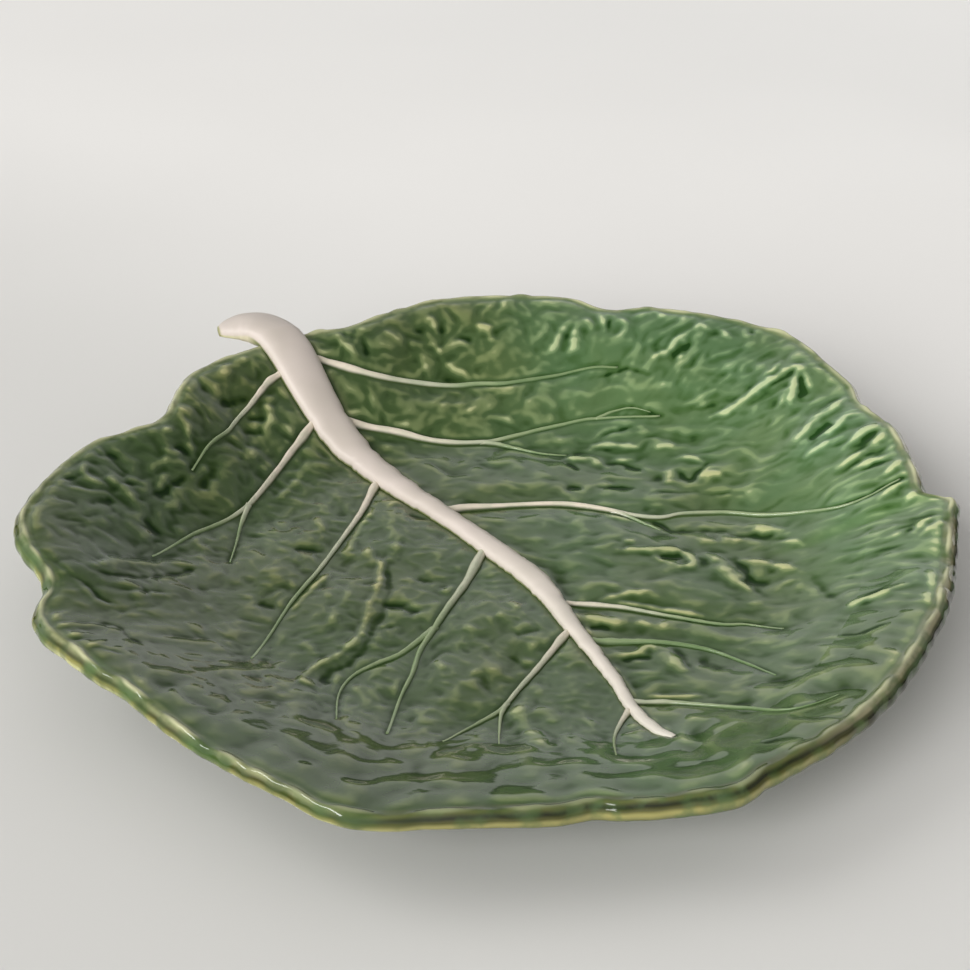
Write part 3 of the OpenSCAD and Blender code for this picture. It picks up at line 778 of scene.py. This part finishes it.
def lip_form(a, across):
    """The lip's relief at a distance across it, and how much of it is a pale crest."""
    run = np.radians(a) * leaf_r
    wander = across + 0.3 - 1.0 * noise_along(run, 14, 51) - 0.3 * noise_along(run, 5, 55)
    crest = clamp01(0.6 + 1.1 * noise_along(run, 11, 52)) * crests(wander, 1.0)
    groove = clamp01(0.7 + noise_along(run, 9, 56)) * crests(across - 2.0, 0.9)
    lobe = clamp01(2.2 * noise_along(run, 11, 57) - 0.5) * crests(across - 0.8, 1.7)
    return 0.8 * crest + 0.8 * lobe - 0.55 * groove, crest


def new_mesh(name, points, faces, attributes=None):
    """Makes a smooth-shaded object from points in millimetres and groups of faces."""
    mesh = bpy.data.meshes.new(name)
    corners = [face for group in faces for face in np.asarray(group).tolist()]
    mesh.from_pydata((np.asarray(points) * mm).tolist(), [], corners, shade_flat=False)
    for key, values in (attributes or {}).items():
        layer = mesh.attributes.new(key, "FLOAT", "POINT")
        layer.data.foreach_set("value", np.asarray(values, np.float32))
    obj = bpy.data.objects.new(name, mesh)
    bpy.context.scene.collection.objects.link(obj)
    return obj


def disc_rings(rings):
    """Ring number and angle of each point of a disc whose ring i has 6 i points."""
    ring = np.concatenate([[0]] + [np.full(6 * i, i) for i in range(1, rings + 1)])
    step = np.concatenate([[0]] + [np.arange(6 * i) for i in range(1, rings + 1)])
    return ring, 60.0 * step / np.maximum(ring, 1)


def ring_start(i):
    """The number of the first point of ring i in a disc."""
    return 1 + 3 * i * (i - 1) if i else 0


def disc_faces(rings):
    """Triangles of a disc whose points disc_rings gives."""
    faces = []
    for i in range(1, rings + 1):
        inner, outer = ring_start(i - 1), ring_start(i)
        sixth, j = np.divmod(np.arange(6 * i), i)
        count_in = max(6 * (i - 1), 1)
        a = inner + (sixth * (i - 1) + j) % count_in
        faces.append(np.stack([a, outer + (sixth * i + j + 1) % (6 * i),
                               outer + sixth * i + j], 1))
        if i > 1:
            sixth, j = np.divmod(np.arange(6 * (i - 1)), i - 1)
            a = inner + sixth * (i - 1) + j
            b = inner + (sixth * (i - 1) + j + 1) % count_in
            faces.append(np.stack([a, b, outer + sixth * i + j + 1], 1))
    return np.concatenate(faces)


def tube_quads(rows, around):
    """Quads between rows of points, each of which closes on itself."""
    i, k = np.meshgrid(np.arange(rows - 1), np.arange(around), indexing="ij")
    ahead = (k + 1) % around
    return np.stack([i * around + k, (i + 1) * around + k, (i + 1) * around + ahead,
                     i * around + ahead], 2).reshape(-1, 4)


def polar(r, a):
    return r * np.sin(np.radians(a)), r * np.cos(np.radians(a))


def lit_lushness(x, y):
    """How far the glaze turns from a duller to a fresh green: more to the right and up the wall,
    less close to the camera and far behind. It is partly the glaze's own tone and partly
    painted light: the fresh green is painted brighter where the leaf is lit, and the duller
    green darker as painted shade."""
    across = x * picture_right[0] + y * picture_right[1]
    away = x * picture_back[0] + y * picture_back[1]
    up_share = up_wall(np.hypot(x, y), edge_r(bearing(x, y)))
    right = ease((across + 35) / 80)
    behind = mix(1, 0.72, ease((away - 70) / 60))
    in_front = mix(0.4, 1, ease((away + 70) / 90))
    return right * behind * mix(0.35, 1, ease(up_share * 1.6)) * in_front


def levelling(x, y):
    """Height of the thick glaze that lies flatter than the wall in front, and steeper
    beside the lip on the right, in metres."""
    a = bearing(x, y)
    near_lip = np.clip(np.hypot(x, y) - edge_r(a) + steep_band, 0, steep_band)
    return mm * (0.2 * near_lip * sector(a, *steep_glaze)
                 - 0.17 * (blade_z(x, y) - floor_z) * sector(a, *flat_glaze))


def blade_top():
    """The upper side out to the lip's top: points, pool, across, ridge and relief."""
    ring, angle = disc_rings(blade_rings)
    edge = edge_r(angle)
    r = edge * ring / blade_rings
    x, y = polar(r, angle)
    near = r > edge - lip_reach
    form, ridge = np.zeros(len(r)), np.zeros(len(r))
    form[near], ridge[near] = lip_form(angle[near], (r - edge)[near])
    relief = sample(SURFACE, cell, x, y)
    z = mix(floor_z, lip_z(angle), wall(up_wall(r, edge))) + relief + form
    pool = sample(POOL, cell, x, y) - crest_thins * form
    return np.stack([x, y, z], 1), pool, np.maximum(r - edge, -lip_reach), ridge, relief


def lip_row(row, relief, pool):
    """A row round the lip, counted from its top over the outer side to the under side."""
    a = 60 * np.arange(rim_points) / blade_rings
    turn = math.pi * row / lip_rows
    half, keep = lip_size(a) / 2, (1 + math.cos(turn)) / 2
    dent = clamp01(0.5 - noise_along(np.radians(a) * leaf_r, 6, 53))
    x, y = polar(edge_r(a) + (half - 0.5 * dent) * math.sin(turn), a)
    form, ridge = (part * keep for part in lip_form(a, half * turn))
    z = lip_z(a) - half * (1 - math.cos(turn)) + relief * keep + form
    pool = mix(pool, lip_pool, row / lip_rows) - crest_thins * form
    return np.stack([x, y, z], 1), pool, half * turn, ridge


def blade_under():
    """The under side, up to the ring before the lip: points, pool, across and ridge."""
    ring, angle = disc_rings(under_rings)
    ring, angle = ring[ring < under_rings], angle[ring < under_rings]
    edge, share = edge_r(angle), ring / under_rings
    x, y = polar(edge * share, angle)
    t = up_wall(edge * share, edge)
    dents = 0.25 * noise(x / 17, y / 17, 54) * ease(t * 4)
    z = mix(foot_h, lip_z(angle) - lip_size(angle), wall(t)) + dents
    across = np.minimum(half_round + edge * (1 - share), lip_tones_end)
    return np.stack([x, y, z], 1), np.full(len(x), under_pool), across, np.zeros(len(x))


def blade_faces(top_points):
    """Triangles of the two sides and quads round the lip."""
    first = top_points - rim_points
    last = first + lip_rows * rim_points
    quads = first + tube_quads(lip_rows + 1, rim_points)[:, [0, 3, 2, 1]]
    # The under side's outermost ring is every second point of the lip's last row
    under = disc_faces(under_rings)[:, ::-1]
    outer = ring_start(under_rings)
    under = np.where(under >= outer, last + 2 * (under - outer), last + rim_points + under)
    # Triangles that close the gap beside each odd point of the last row
    even = np.arange(0, rim_points, 2)
    odd = np.stack([last + even, last + (even + 2) % rim_points, last + even + 1], 1)
    return [np.concatenate([disc_faces(blade_rings), under, odd]), quads]


def make_leaf():
    *top, relief = blade_top()
    rows = [lip_row(row, relief[-rim_points:], top[1][-rim_points:])
            for row in range(1, lip_rows + 1)]
    under = blade_under()
    points, pool, across, ridge = (np.concatenate(columns) for columns in zip(top, *rows, under))
    x, y = points[:, 0], points[:, 1]
    a = bearing(x, y)
    level = levelling(x, y)
    level[-len(under[0]):] = 0
    return new_mesh("leaf_blade", points, blade_faces(len(top[0])), {
        # The fresh green share carries painted light and shade as well as the glaze's tone
        "pool": pool, "across": across, "ridge": ridge, "level": level, "lit_lush": lit_lushness(x, y),
        # The right front's share marks the lip whose outer side is painted near black as shade
        "gold": sector(a, *gold_lip), "blond": sector(a, *blond_lip),
        "shaded_brown": sector(a, *shaded_brown_lip)})


leaf = make_leaf()
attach(leaf, "root")
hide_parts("leaf")


def strand(rows, over, power, seat_end=leaf_r * 2):
    """Points, faces, crest share and run share of a raised strand. Each row is x, y,
    width, height, belly and lift. It follows the blade as far along Y as seat_end."""
    rows = np.asarray(rows, float)
    n, around = len(rows), 2 * over
    ahead = rows[np.minimum(np.arange(n) + 1, n - 1), :2]
    behind = rows[np.maximum(np.arange(n) - 1, 0), :2]
    head = ahead - behind
    head /= np.linalg.norm(head, axis=1)[:, None]
    turn = np.pi * np.arange(over + 1) / over
    low_turn = np.pi + np.pi * np.arange(1, over) / over
    sideways = np.concatenate([np.cos(turn), np.cos(low_turn)])
    up_share = np.concatenate([np.sin(turn) ** (2 / power), np.zeros(over - 1)])
    down_share = np.concatenate([np.zeros(over + 1), -np.sin(low_turn)])
    x0, y0, width, height, belly, lift = (column[:, None] for column in rows.T)
    x = x0 + head[:, 1:] * width / 2 * sideways
    y = y0 - head[:, :1] * width / 2 * sideways
    skirt = np.where(up_share > 0, 0, np.minimum(skirt_share + down_share, 1)) * strand_sink
    skirt[[0, over]] = skirt_share * strand_sink
    z = (blade_z(x, np.minimum(y, seat_end)) + lift + height * up_share
         - np.maximum(belly * down_share, skirt * (y0 < seat_end)))
    points = np.stack([x, y, z], 2).reshape(-1, 3)
    ends = []
    for row, order in ((0, 1), (n - 1, -1)):
        centre = len(points)
        ring = np.arange(row * around, (row + 1) * around)
        points = np.concatenate([points, points[ring].mean(0)[None]])
        ends.append(np.stack([np.full(around, centre), ring, np.roll(ring, -1)][::order], 1))
    crest = np.concatenate([np.tile(up_share, n), [0.5, 0.5]])
    run = np.concatenate([np.repeat(np.linspace(0, 1, n), around), [0, 1]])
    return points, [tube_quads(n, around), np.concatenate(ends)], crest, run


def join(parts):
    """Joins the results of strand into one set of points, faces and attributes."""
    starts = np.cumsum([0] + [len(part[0]) for part in parts])
    points, faces, crest, run = zip(*parts)
    moved = [[face + start for face in pair] for pair, start in zip(faces, starts)]
    return (np.concatenate(points), [np.concatenate(kind) for kind in zip(*moved)],
            {"crest": np.concatenate(crest), "run": np.concatenate(run)})


def make_rib():
    """The midrib and its stalk in one piece, as the clay is."""
    root = midrib_shares[-1]
    base_x, base_y = root[0] * leaf_r, edge_r(bearing(root[0], 1.0))
    path = [[x * leaf_r, y * leaf_r, width * rib_w, height * rib_h, 0, 0]
            for x, y, width, height in midrib_shares]
    path += [[base_x - x * stalk_curl, base_y + y * stalk_out, width * rib_w, height * rib_h,
              belly * stalk_belly, lift * stalk_lift]
             for x, y, width, height, belly, lift in stalk_shares]
    rows = smooth_rows(path, 10)
    run = np.concatenate([[0], np.cumsum(np.hypot(*np.diff(rows[:, :2], axis=0).T))])
    slim_tip = mix(1, 0.35, ease((run - run[-1] + 16) / 14))
    rows[:, 4] = np.maximum(rows[:, 4], 0) * slim_tip
    rough = ease((base_y - 20 - rows[:, 1]) / 30)
    rows[:, 0] += rough * (0.4 * noise_along(run, 7, 62) + 0.15 * noise_along(run, 2.5, 63))
    rows[:, 2] *= 1 + rough * (0.09 * noise_along(run, 6, 64) + 0.10 * noise_along(run, 2.0, 65))
    points, faces, values = join([strand(rows, over=20, power=3.4, seat_end=base_y)])
    points[:, 2] += 0.3 * noise(points[:, 0] / 11, points[:, 1] / 11, 66) * values["crest"] ** 4
    return new_mesh("midrib_and_stalk", points, faces, values)


rib = make_rib()
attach(rib, "root")
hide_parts("midrib", "stalk")


def make_vein(name):
    """A side vein with its branches, each seated on the blade's relief."""
    size, start, end, strands = veins[name]
    parts, pale = [], []
    main = smooth_rows(strands[0], 8) * leaf_r
    for n, shares in enumerate(strands):
        line = smooth_rows(shares, 8) * leaf_r
        run = np.linspace(0, 1, len(line))
        at = np.argmin(np.hypot(*(main - line[0]).T)) / (len(main) - 1)
        share = size * (1 if n == 0 else min(branch_share, 0.85 * mix(1.1, tip_share, at)))
        uneven = noise(40 * run / len(shares) * 3, 0 * run, 61 + n)
        slim = mix(1.1, tip_share, run) * (1 + 0.25 * uneven)
        flare = 1 + flare_share * np.exp(-np.hypot(*(line - line[0]).T) / 9)
        sunk = ease((1 - run) * 6) * (1 if n == 0 else mix(0.45, 1, ease(run * 7)))
        lift = sample(SURFACE, cell, line[:, 0], line[:, 1]) + seat_gap
        rows = np.stack([line[:, 0], line[:, 1], vein_w * share * slim * flare,
                         vein_h * share * slim * sunk * flare, 0 * run, lift], 1)
        parts.append(strand(rows, over=8, power=1.2))
        full = 1 if n == 0 else mix(1, end, ease((at - start) / (1 - start) * 1.3))
        gone = parts[-1][3] - (start if n == 0 else 0)
        pale.append(mix(full, end, ease(gone / (1 - start) * 1.3)))
    points, faces, values = join(parts)
    values["pale"] = np.concatenate(pale)
    return new_mesh(name + "_relief", points, faces, values)


vein_pieces = []
for name in veins:
    piece = make_vein(name)
    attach(piece, "root")
    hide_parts(name)
    vein_pieces.append(piece)


def make_foot():
    """The foot ring, turned from a profile with a fillet up to the floor's under side."""
    inner, rounding, fillet, lap, sunk = foot_r - foot_w / 2, 1.5, 1.2, 0.6, 0.5
    profile = [(inner - fillet - lap, foot_h + sunk)]
    for turn in np.radians(np.linspace(0, 90, 7)):
        profile.append((inner - fillet + fillet * math.sin(turn),
                        foot_h - fillet + fillet * math.cos(turn)))
    for turn in np.radians(np.linspace(0, 90, 9)):
        profile.append((inner + rounding * (1 - math.cos(turn)),
                        rounding * (1 - math.sin(turn))))
    profile += [(2 * foot_r - r, z) for r, z in reversed(profile)]
    count, around = len(profile), 360
    angle = np.arange(around) * 360 / around
    rows = [np.stack([*polar(np.full(around, r), angle), np.full(around, z)], 1)
            for r, z in profile]
    points = np.stack(rows, 1).reshape(-1, 3)
    return new_mesh("foot", points, [tube_quads(around + 1, count) % len(points)])


foot = make_foot()
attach(foot, "root")
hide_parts("foot_ring")


# Materials

class Nodes:
    """The nodes of a material or world, with short ways to add and link them."""

    def __init__(self, owner):
        owner.use_nodes = True
        self.owner, self.tree = owner, owner.node_tree

    def feed(self, node, inputs):
        """Links or sets inputs of a node by name or number. A tuple is a colour."""
        for key, value in inputs.items():
            if isinstance(value, bpy.types.NodeSocket):
                self.tree.links.new(value, node.inputs[key])
            elif isinstance(value, tuple):
                node.inputs[key].default_value = (*value, 1)
            else:
                node.inputs[key].default_value = value

    def add(self, kind, inputs=None, **settings):
        node = self.tree.nodes.new(kind)
        for key, value in settings.items():
            setattr(node, key, value)
        self.feed(node, inputs or {})
        return node

    def surface(self, inputs):
        """Feeds the shader that the material starts with, and gives the material."""
        self.feed(next(n for n in self.tree.nodes if n.type == "BSDF_PRINCIPLED"), inputs)
        return self.owner

    def attribute(self, name):
        return self.add("ShaderNodeAttribute", attribute_name=name).outputs["Fac"]

    def place(self, kind="Object"):
        return self.add("ShaderNodeTexCoord").outputs[kind]

    def upward(self, place):
        return self.add("ShaderNodeSeparateXYZ", {0: place}).outputs["Z"]

    def along(self, place, direction):
        return self.add("ShaderNodeVectorMath", {0: place, 1: direction},
                        operation="DOT_PRODUCT").outputs["Value"]

    def scaled_sum(self, a, factor, b):
        return self.add("ShaderNodeMath", {0: a, 1: factor, 2: b},
                        operation="MULTIPLY_ADD").outputs[0]

    def share(self, value, low, high):
        return self.add("ShaderNodeMapRange", {
            "Value": value, "From Min": low, "From Max": high}).outputs["Result"]

    def noise(self, scale, detail=3, distortion=0.0):
        return self.add("ShaderNodeTexNoise", {
            "Scale": scale, "Detail": detail, "Distortion": distortion,
            "Vector": self.place()}).outputs["Fac"]

    def ramp(self, source, stops):
        """A smooth ramp. The colour of a stop is a tuple, or one number for a grey."""
        node = self.add("ShaderNodeValToRGB", {"Fac": source})
        node.color_ramp.interpolation = "EASE"
        elements = node.color_ramp.elements
        while len(elements) < len(stops):
            elements.new(0.5)
        for element, (at, colour) in zip(elements, stops):
            element.position = at
            element.color = (*(colour if isinstance(colour, tuple) else 3 * [colour]), 1)
        return node.outputs["Color"]

    def across_lip(self, stops):
        """A ramp along the distance across the lip, given in millimetres."""
        inside, outside = -lip_reach, lip_tones_end
        return self.ramp(self.share(self.attribute("across"), inside, outside),
                         [((at - inside) / (outside - inside), tone) for at, tone in stops])

    def blend(self, factor, a, b, mode="MIX"):
        return self.add("ShaderNodeMix", {0: factor, 6: a, 7: b},
                        data_type="RGBA", blend_type=mode).outputs[2]

    def multiply(self, a, b):
        return self.blend(1.0, a, b, "MULTIPLY")

    def bump(self, height, strength, distance, under=None):
        inputs = {"Height": height, "Strength": strength, "Distance": distance}
        if under:
            inputs["Normal"] = under
        return self.add("ShaderNodeBump", inputs).outputs["Normal"]


def lip_glaze(nodes):
    """The lip's tones, which change round the plate from plain to brownish, gold and blond.
    Past the roll's outermost point each tone turns dark as painted shade on the outer and
    under side, near black on the plain lip and on the right front.
    """
    golden = nodes.across_lip([
        (-1.0, (0.06, 0.075, 0.02)), (0.4, (0.09, 0.10, 0.03)), (1.7, (0.014, 0.017, 0.004)),
        (2.8, (0.06, 0.06, 0.014)), (4.2, (0.27, 0.25, 0.085)), (6.4, (0.10, 0.11, 0.035)),
        (8.0, (0.035, 0.05, 0.015))])
    blond = nodes.across_lip([
        (-1.0, (0.13, 0.16, 0.06)), (0.5, (0.26, 0.27, 0.13)), (2.0, (0.045, 0.047, 0.009)),
        (3.4, (0.22, 0.21, 0.06)), (4.6, (0.46, 0.46, 0.21)), (6.0, (0.38, 0.39, 0.19)),
        (7.2, (0.13, 0.11, 0.05)), (8.8, (0.14, 0.15, 0.09))])
    stain = nodes.ramp(nodes.noise(55, 2), [(0.48, 0), (0.62, 0.8)])
    blond = nodes.blend(stain, blond, (0.06, 0.115, 0.03))
    # On the plain lip the roll is painted near black as shade from 3.8 mm across
    plain = nodes.across_lip([
        (-1.8, (0.15, 0.19, 0.085)), (-0.6, (0.25, 0.27, 0.14)), (1.4, (0.35, 0.35, 0.20)),
        (2.8, (0.28, 0.27, 0.15)), (3.8, (0.03, 0.028, 0.01)), (6.4, (0.05, 0.048, 0.02)),
        (9.0, (0.11, 0.12, 0.06))])
    # On the right front the roll is painted near black as shade from 3 mm across
    shaded_brown = nodes.across_lip([
        (-1.0, (0.14, 0.16, 0.08)), (0.3, (0.28, 0.27, 0.17)), (1.3, (0.24, 0.22, 0.13)),
        (2.1, (0.05, 0.05, 0.02)), (3.0, (0.012, 0.013, 0.004)), (6.5, (0.02, 0.018, 0.007)),
        (8.4, (0.10, 0.085, 0.055))])
    lip = nodes.blend(nodes.attribute("shaded_brown"), plain, shaded_brown)
    lip = nodes.blend(nodes.attribute("gold"), lip, golden)
    return nodes.blend(nodes.attribute("blond"), lip, blond)


def green_glaze():
    nodes = Nodes(bpy.data.materials.new("green_glaze"))
    depth = nodes.scaled_sum(nodes.noise(260, 4, 0.4), 0.14, nodes.attribute("pool"))
    # The fresh green is painted where the leaf is lit and the duller green where it is in shade, over
    # the glaze's own tones
    lit_lush = nodes.ramp(depth, [
        (0.10, (0.42, 0.49, 0.27)), (0.32, (0.175, 0.268, 0.125)), (0.54, (0.090, 0.162, 0.066)),
        (0.74, (0.055, 0.115, 0.034)), (0.95, (0.014, 0.045, 0.008))])
    dull_shaded = nodes.ramp(depth, [
        (0.08, (0.34, 0.35, 0.17)), (0.32, (0.13, 0.16, 0.06)), (0.56, (0.043, 0.072, 0.019)),
        (0.76, (0.026, 0.047, 0.012)), (1.0, (0.009, 0.022, 0.005))])
    colour = nodes.blend(nodes.attribute("lit_lush"), dull_shaded, lit_lush)
    warm = nodes.ramp(nodes.noise(22, 3, 0.6), [(0.35, (0.93, 1.0, 1.0)), (0.7, (1.06, 1.0, 0.90))])
    worn = nodes.ramp(nodes.noise(150), [(0.35, 0.35), (0.6, 1)])
    reach_in = nodes.across_lip([(-3.0, 0), (-1.4, 0.9), (2.0, 1), (10.0, 1), (22.0, 0)])
    colour = nodes.blend(nodes.multiply(worn, reach_in), nodes.multiply(colour, warm),
                         lip_glaze(nodes))
    ridge = nodes.ramp(nodes.attribute("ridge"), [(0.2, 0), (0.9, 0.85)])
    pale = nodes.blend(nodes.attribute("gold"), (0.46, 0.46, 0.27), (0.24, 0.26, 0.14))
    flatter = nodes.bump(nodes.attribute("level"), 1.0, 1.0)
    return nodes.surface({
        "Base Color": nodes.blend(ridge, colour, pale), "Roughness": 0.08, "IOR": 1.5,
        "Specular IOR Level": nodes.ramp(depth, [(0.58, 0.5), (0.85, 0.06)]),
        "Normal": nodes.bump(nodes.noise(420, 2), 0.08, 0.0004, flatter)})


def cream_glaze():
    nodes = Nodes(bpy.data.materials.new("cream_glaze"))
    along = nodes.attribute("run")
    low = nodes.ramp(along, [
        (0.0, (0.16, 0.18, 0.05)), (0.80, (0.13, 0.15, 0.04)), (0.87, (0.52, 0.48, 0.34)),
        (0.975, (0.46, 0.44, 0.26)), (1.0, (0.18, 0.18, 0.06))])
    cream = nodes.ramp(along, [
        (0.0, (0.72, 0.685, 0.595)), (0.25, (0.60, 0.555, 0.485)), (0.5, (0.56, 0.50, 0.445)),
        (0.985, (0.52, 0.465, 0.42)), (1.0, (0.26, 0.26, 0.10))])
    rise = nodes.ramp(nodes.attribute("crest"), [(0.05, 0), (0.30, 1)])
    tint = nodes.ramp(nodes.noise(60, 4), [(0.3, (0.95, 0.94, 0.92)), (0.7, (1.02, 1.0, 1.0))])
    return nodes.surface({
        "Base Color": nodes.multiply(nodes.blend(rise, low, cream), tint),
        "Roughness": 0.42, "IOR": 1.48, "Normal": nodes.bump(nodes.noise(300), 0.1, 0.0004)})


def vein_glaze():
    nodes = Nodes(bpy.data.materials.new("vein_glaze"))
    pale = nodes.attribute("pale")
    top = nodes.ramp(pale, [
        (0.0, (0.14, 0.21, 0.09)), (0.3, (0.24, 0.30, 0.16)), (0.65, (0.44, 0.45, 0.34)),
        (1.0, (0.64, 0.57, 0.48))])
    low = nodes.ramp(pale, [(0.15, (0.11, 0.17, 0.07)), (0.6, (0.05, 0.075, 0.022))])
    rise = nodes.ramp(nodes.attribute("crest"), [(0.15, 0), (0.75, 1)])
    tint = nodes.ramp(nodes.noise(220), [(0.3, (0.85, 0.90, 0.82)), (0.7, (1.05, 1.03, 1.0))])
    return nodes.surface({"Base Color": nodes.multiply(nodes.blend(rise, low, top), tint),
                          "Roughness": 0.16, "IOR": 1.5})


def foot_clay():
    """Green glaze, with a tread of bare clay that was wiped clean up to a wavy line."""
    nodes = Nodes(bpy.data.materials.new("foot_clay"))
    height = nodes.scaled_sum(nodes.noise(120), -0.0008, nodes.upward(nodes.place()))
    bare = nodes.ramp(height, [(0.0002, 1), (0.0005, 0)])
    grain = nodes.noise(900, 4)
    clay = nodes.ramp(grain, [(0.3, (0.50, 0.43, 0.33)), (0.7, (0.66, 0.60, 0.50))])
    return nodes.surface({
        "Base Color": nodes.blend(bare, (0.045, 0.085, 0.028), clay),
        "Roughness": nodes.ramp(bare, [(0.0, 0.12), (1.0, 0.8)]),
        "Normal": nodes.bump(grain, 0.2, 0.0003)})


leaf.data.materials.append(green_glaze())
rib.data.materials.append(cream_glaze())
vein_material = vein_glaze()
for piece in vein_pieces:
    piece.data.materials.append(vein_material)
foot.data.materials.append(foot_clay())


# Floor, light and camera

def make_floor():
    """A plain pale floor, which grows lighter with the distance behind the plate, where it
    stands for the backdrop, and is darker towards the front and the left as painted shade.
    """
    half = 3000.0
    points = [[-half, -half, 0], [half, -half, 0], [half, half, 0], [-half, half, 0]]
    obj = new_mesh("floor", points, [[[0, 1, 2, 3]]])
    nodes = Nodes(bpy.data.materials.new("floor"))
    colour = nodes.ramp(nodes.noise(3, 2), [(0.3, (0.78, 0.77, 0.75)), (0.7, (0.81, 0.80, 0.78))])
    # Darker towards the front and the left as painted shade, lighter behind as the backdrop
    away = nodes.along(nodes.place(), picture_back + picture_right * 0.6)
    backdrop_and_shade = nodes.ramp(nodes.share(away, -0.25, 0.75), [
        (0.05, (0.81, 0.81, 0.80)), (0.25, (0.82, 0.82, 0.81)), (0.6, (0.97, 0.965, 0.96)),
        (1.0, (0.95, 0.95, 0.95))])
    obj.data.materials.append(nodes.surface({
        "Base Color": nodes.multiply(colour, backdrop_and_shade), "Roughness": 0.9,
        "Specular IOR Level": 0.0}))
    return obj


make_floor()


def lamp(name, kind, metres, energy):
    """A lamp that points to the plate. Its place is metres to the right, back and up, as
    the picture has them."""
    right, back, high = metres
    place = picture_right * right + picture_back * back + up * high
    data = bpy.data.lights.new(name, kind)
    data.energy = energy
    obj = bpy.data.objects.new(name, data)
    obj.location = place
    obj.rotation_euler = (-place).to_track_quat("-Z", "Y").to_euler()
    bpy.context.scene.collection.objects.link(obj)
    return obj


def make_camera():
    data = bpy.data.cameras.new("camera")
    data.sensor_width = sensor
    data.lens = sensor * focal_in_pixels / frame_in_pixels
    data.clip_start, data.clip_end = 0.01, 20
    obj = bpy.data.objects.new("camera", data)
    obj.location = camera_place
    obj.rotation_euler = picture_ahead.to_track_quat("-Z", "Y").to_euler()
    bpy.context.scene.collection.objects.link(obj)
    bpy.context.scene.camera = obj


make_camera()

# Two soft lamps light the clay under the glaze and the third makes the glints
key = lamp("soft_key", "SUN", (-1.5, 0.2, 1.15), 0.9)
fill = lamp("fill", "SUN", (-1.0, -1.5, 0.7), 3.3)
for soft in (key, fill):
    soft.data.angle = math.radians(40)
    soft.visible_glossy = False
glint = lamp("glint", "AREA", (-1.2, -0.6, 1.2), 15)
glint.data.shape = "RECTANGLE"
glint.data.size, glint.data.size_y = 1.2, 0.28
glint.visible_diffuse = False


def make_world():
    """An even light for the clay, and a room that only the reflections in the glaze show."""
    nodes = Nodes(bpy.data.worlds.new("studio"))
    nodes.tree.nodes.clear()
    place = nodes.place("Generated")
    room = nodes.ramp(nodes.upward(place), [
        (0.0, 0.04), (0.085, 0.06), (0.10, 0.85), (0.5, 0.85), (0.75, 0.5), (0.95, 0.25)])
    dimmer = nodes.ramp(nodes.along(place, picture_right), [(0.1, 1), (0.5, 0.7), (0.9, 0.3)])
    plain = nodes.add("ShaderNodeBackground", {"Color": (1.0, 0.99, 0.975), "Strength": 0.48})
    shiny = nodes.add("ShaderNodeBackground", {"Color": nodes.multiply(room, dimmer)})
    glossy = nodes.add("ShaderNodeLightPath").outputs["Is Glossy Ray"]
    pick = nodes.add("ShaderNodeMixShader", {0: glossy, 1: plain.outputs[0], 2: shiny.outputs[0]})
    nodes.add("ShaderNodeOutputWorld", {"Surface": pick.outputs[0]})
    bpy.context.scene.world = nodes.owner


make_world()
bpy.context.scene.view_settings.view_transform = "Standard"
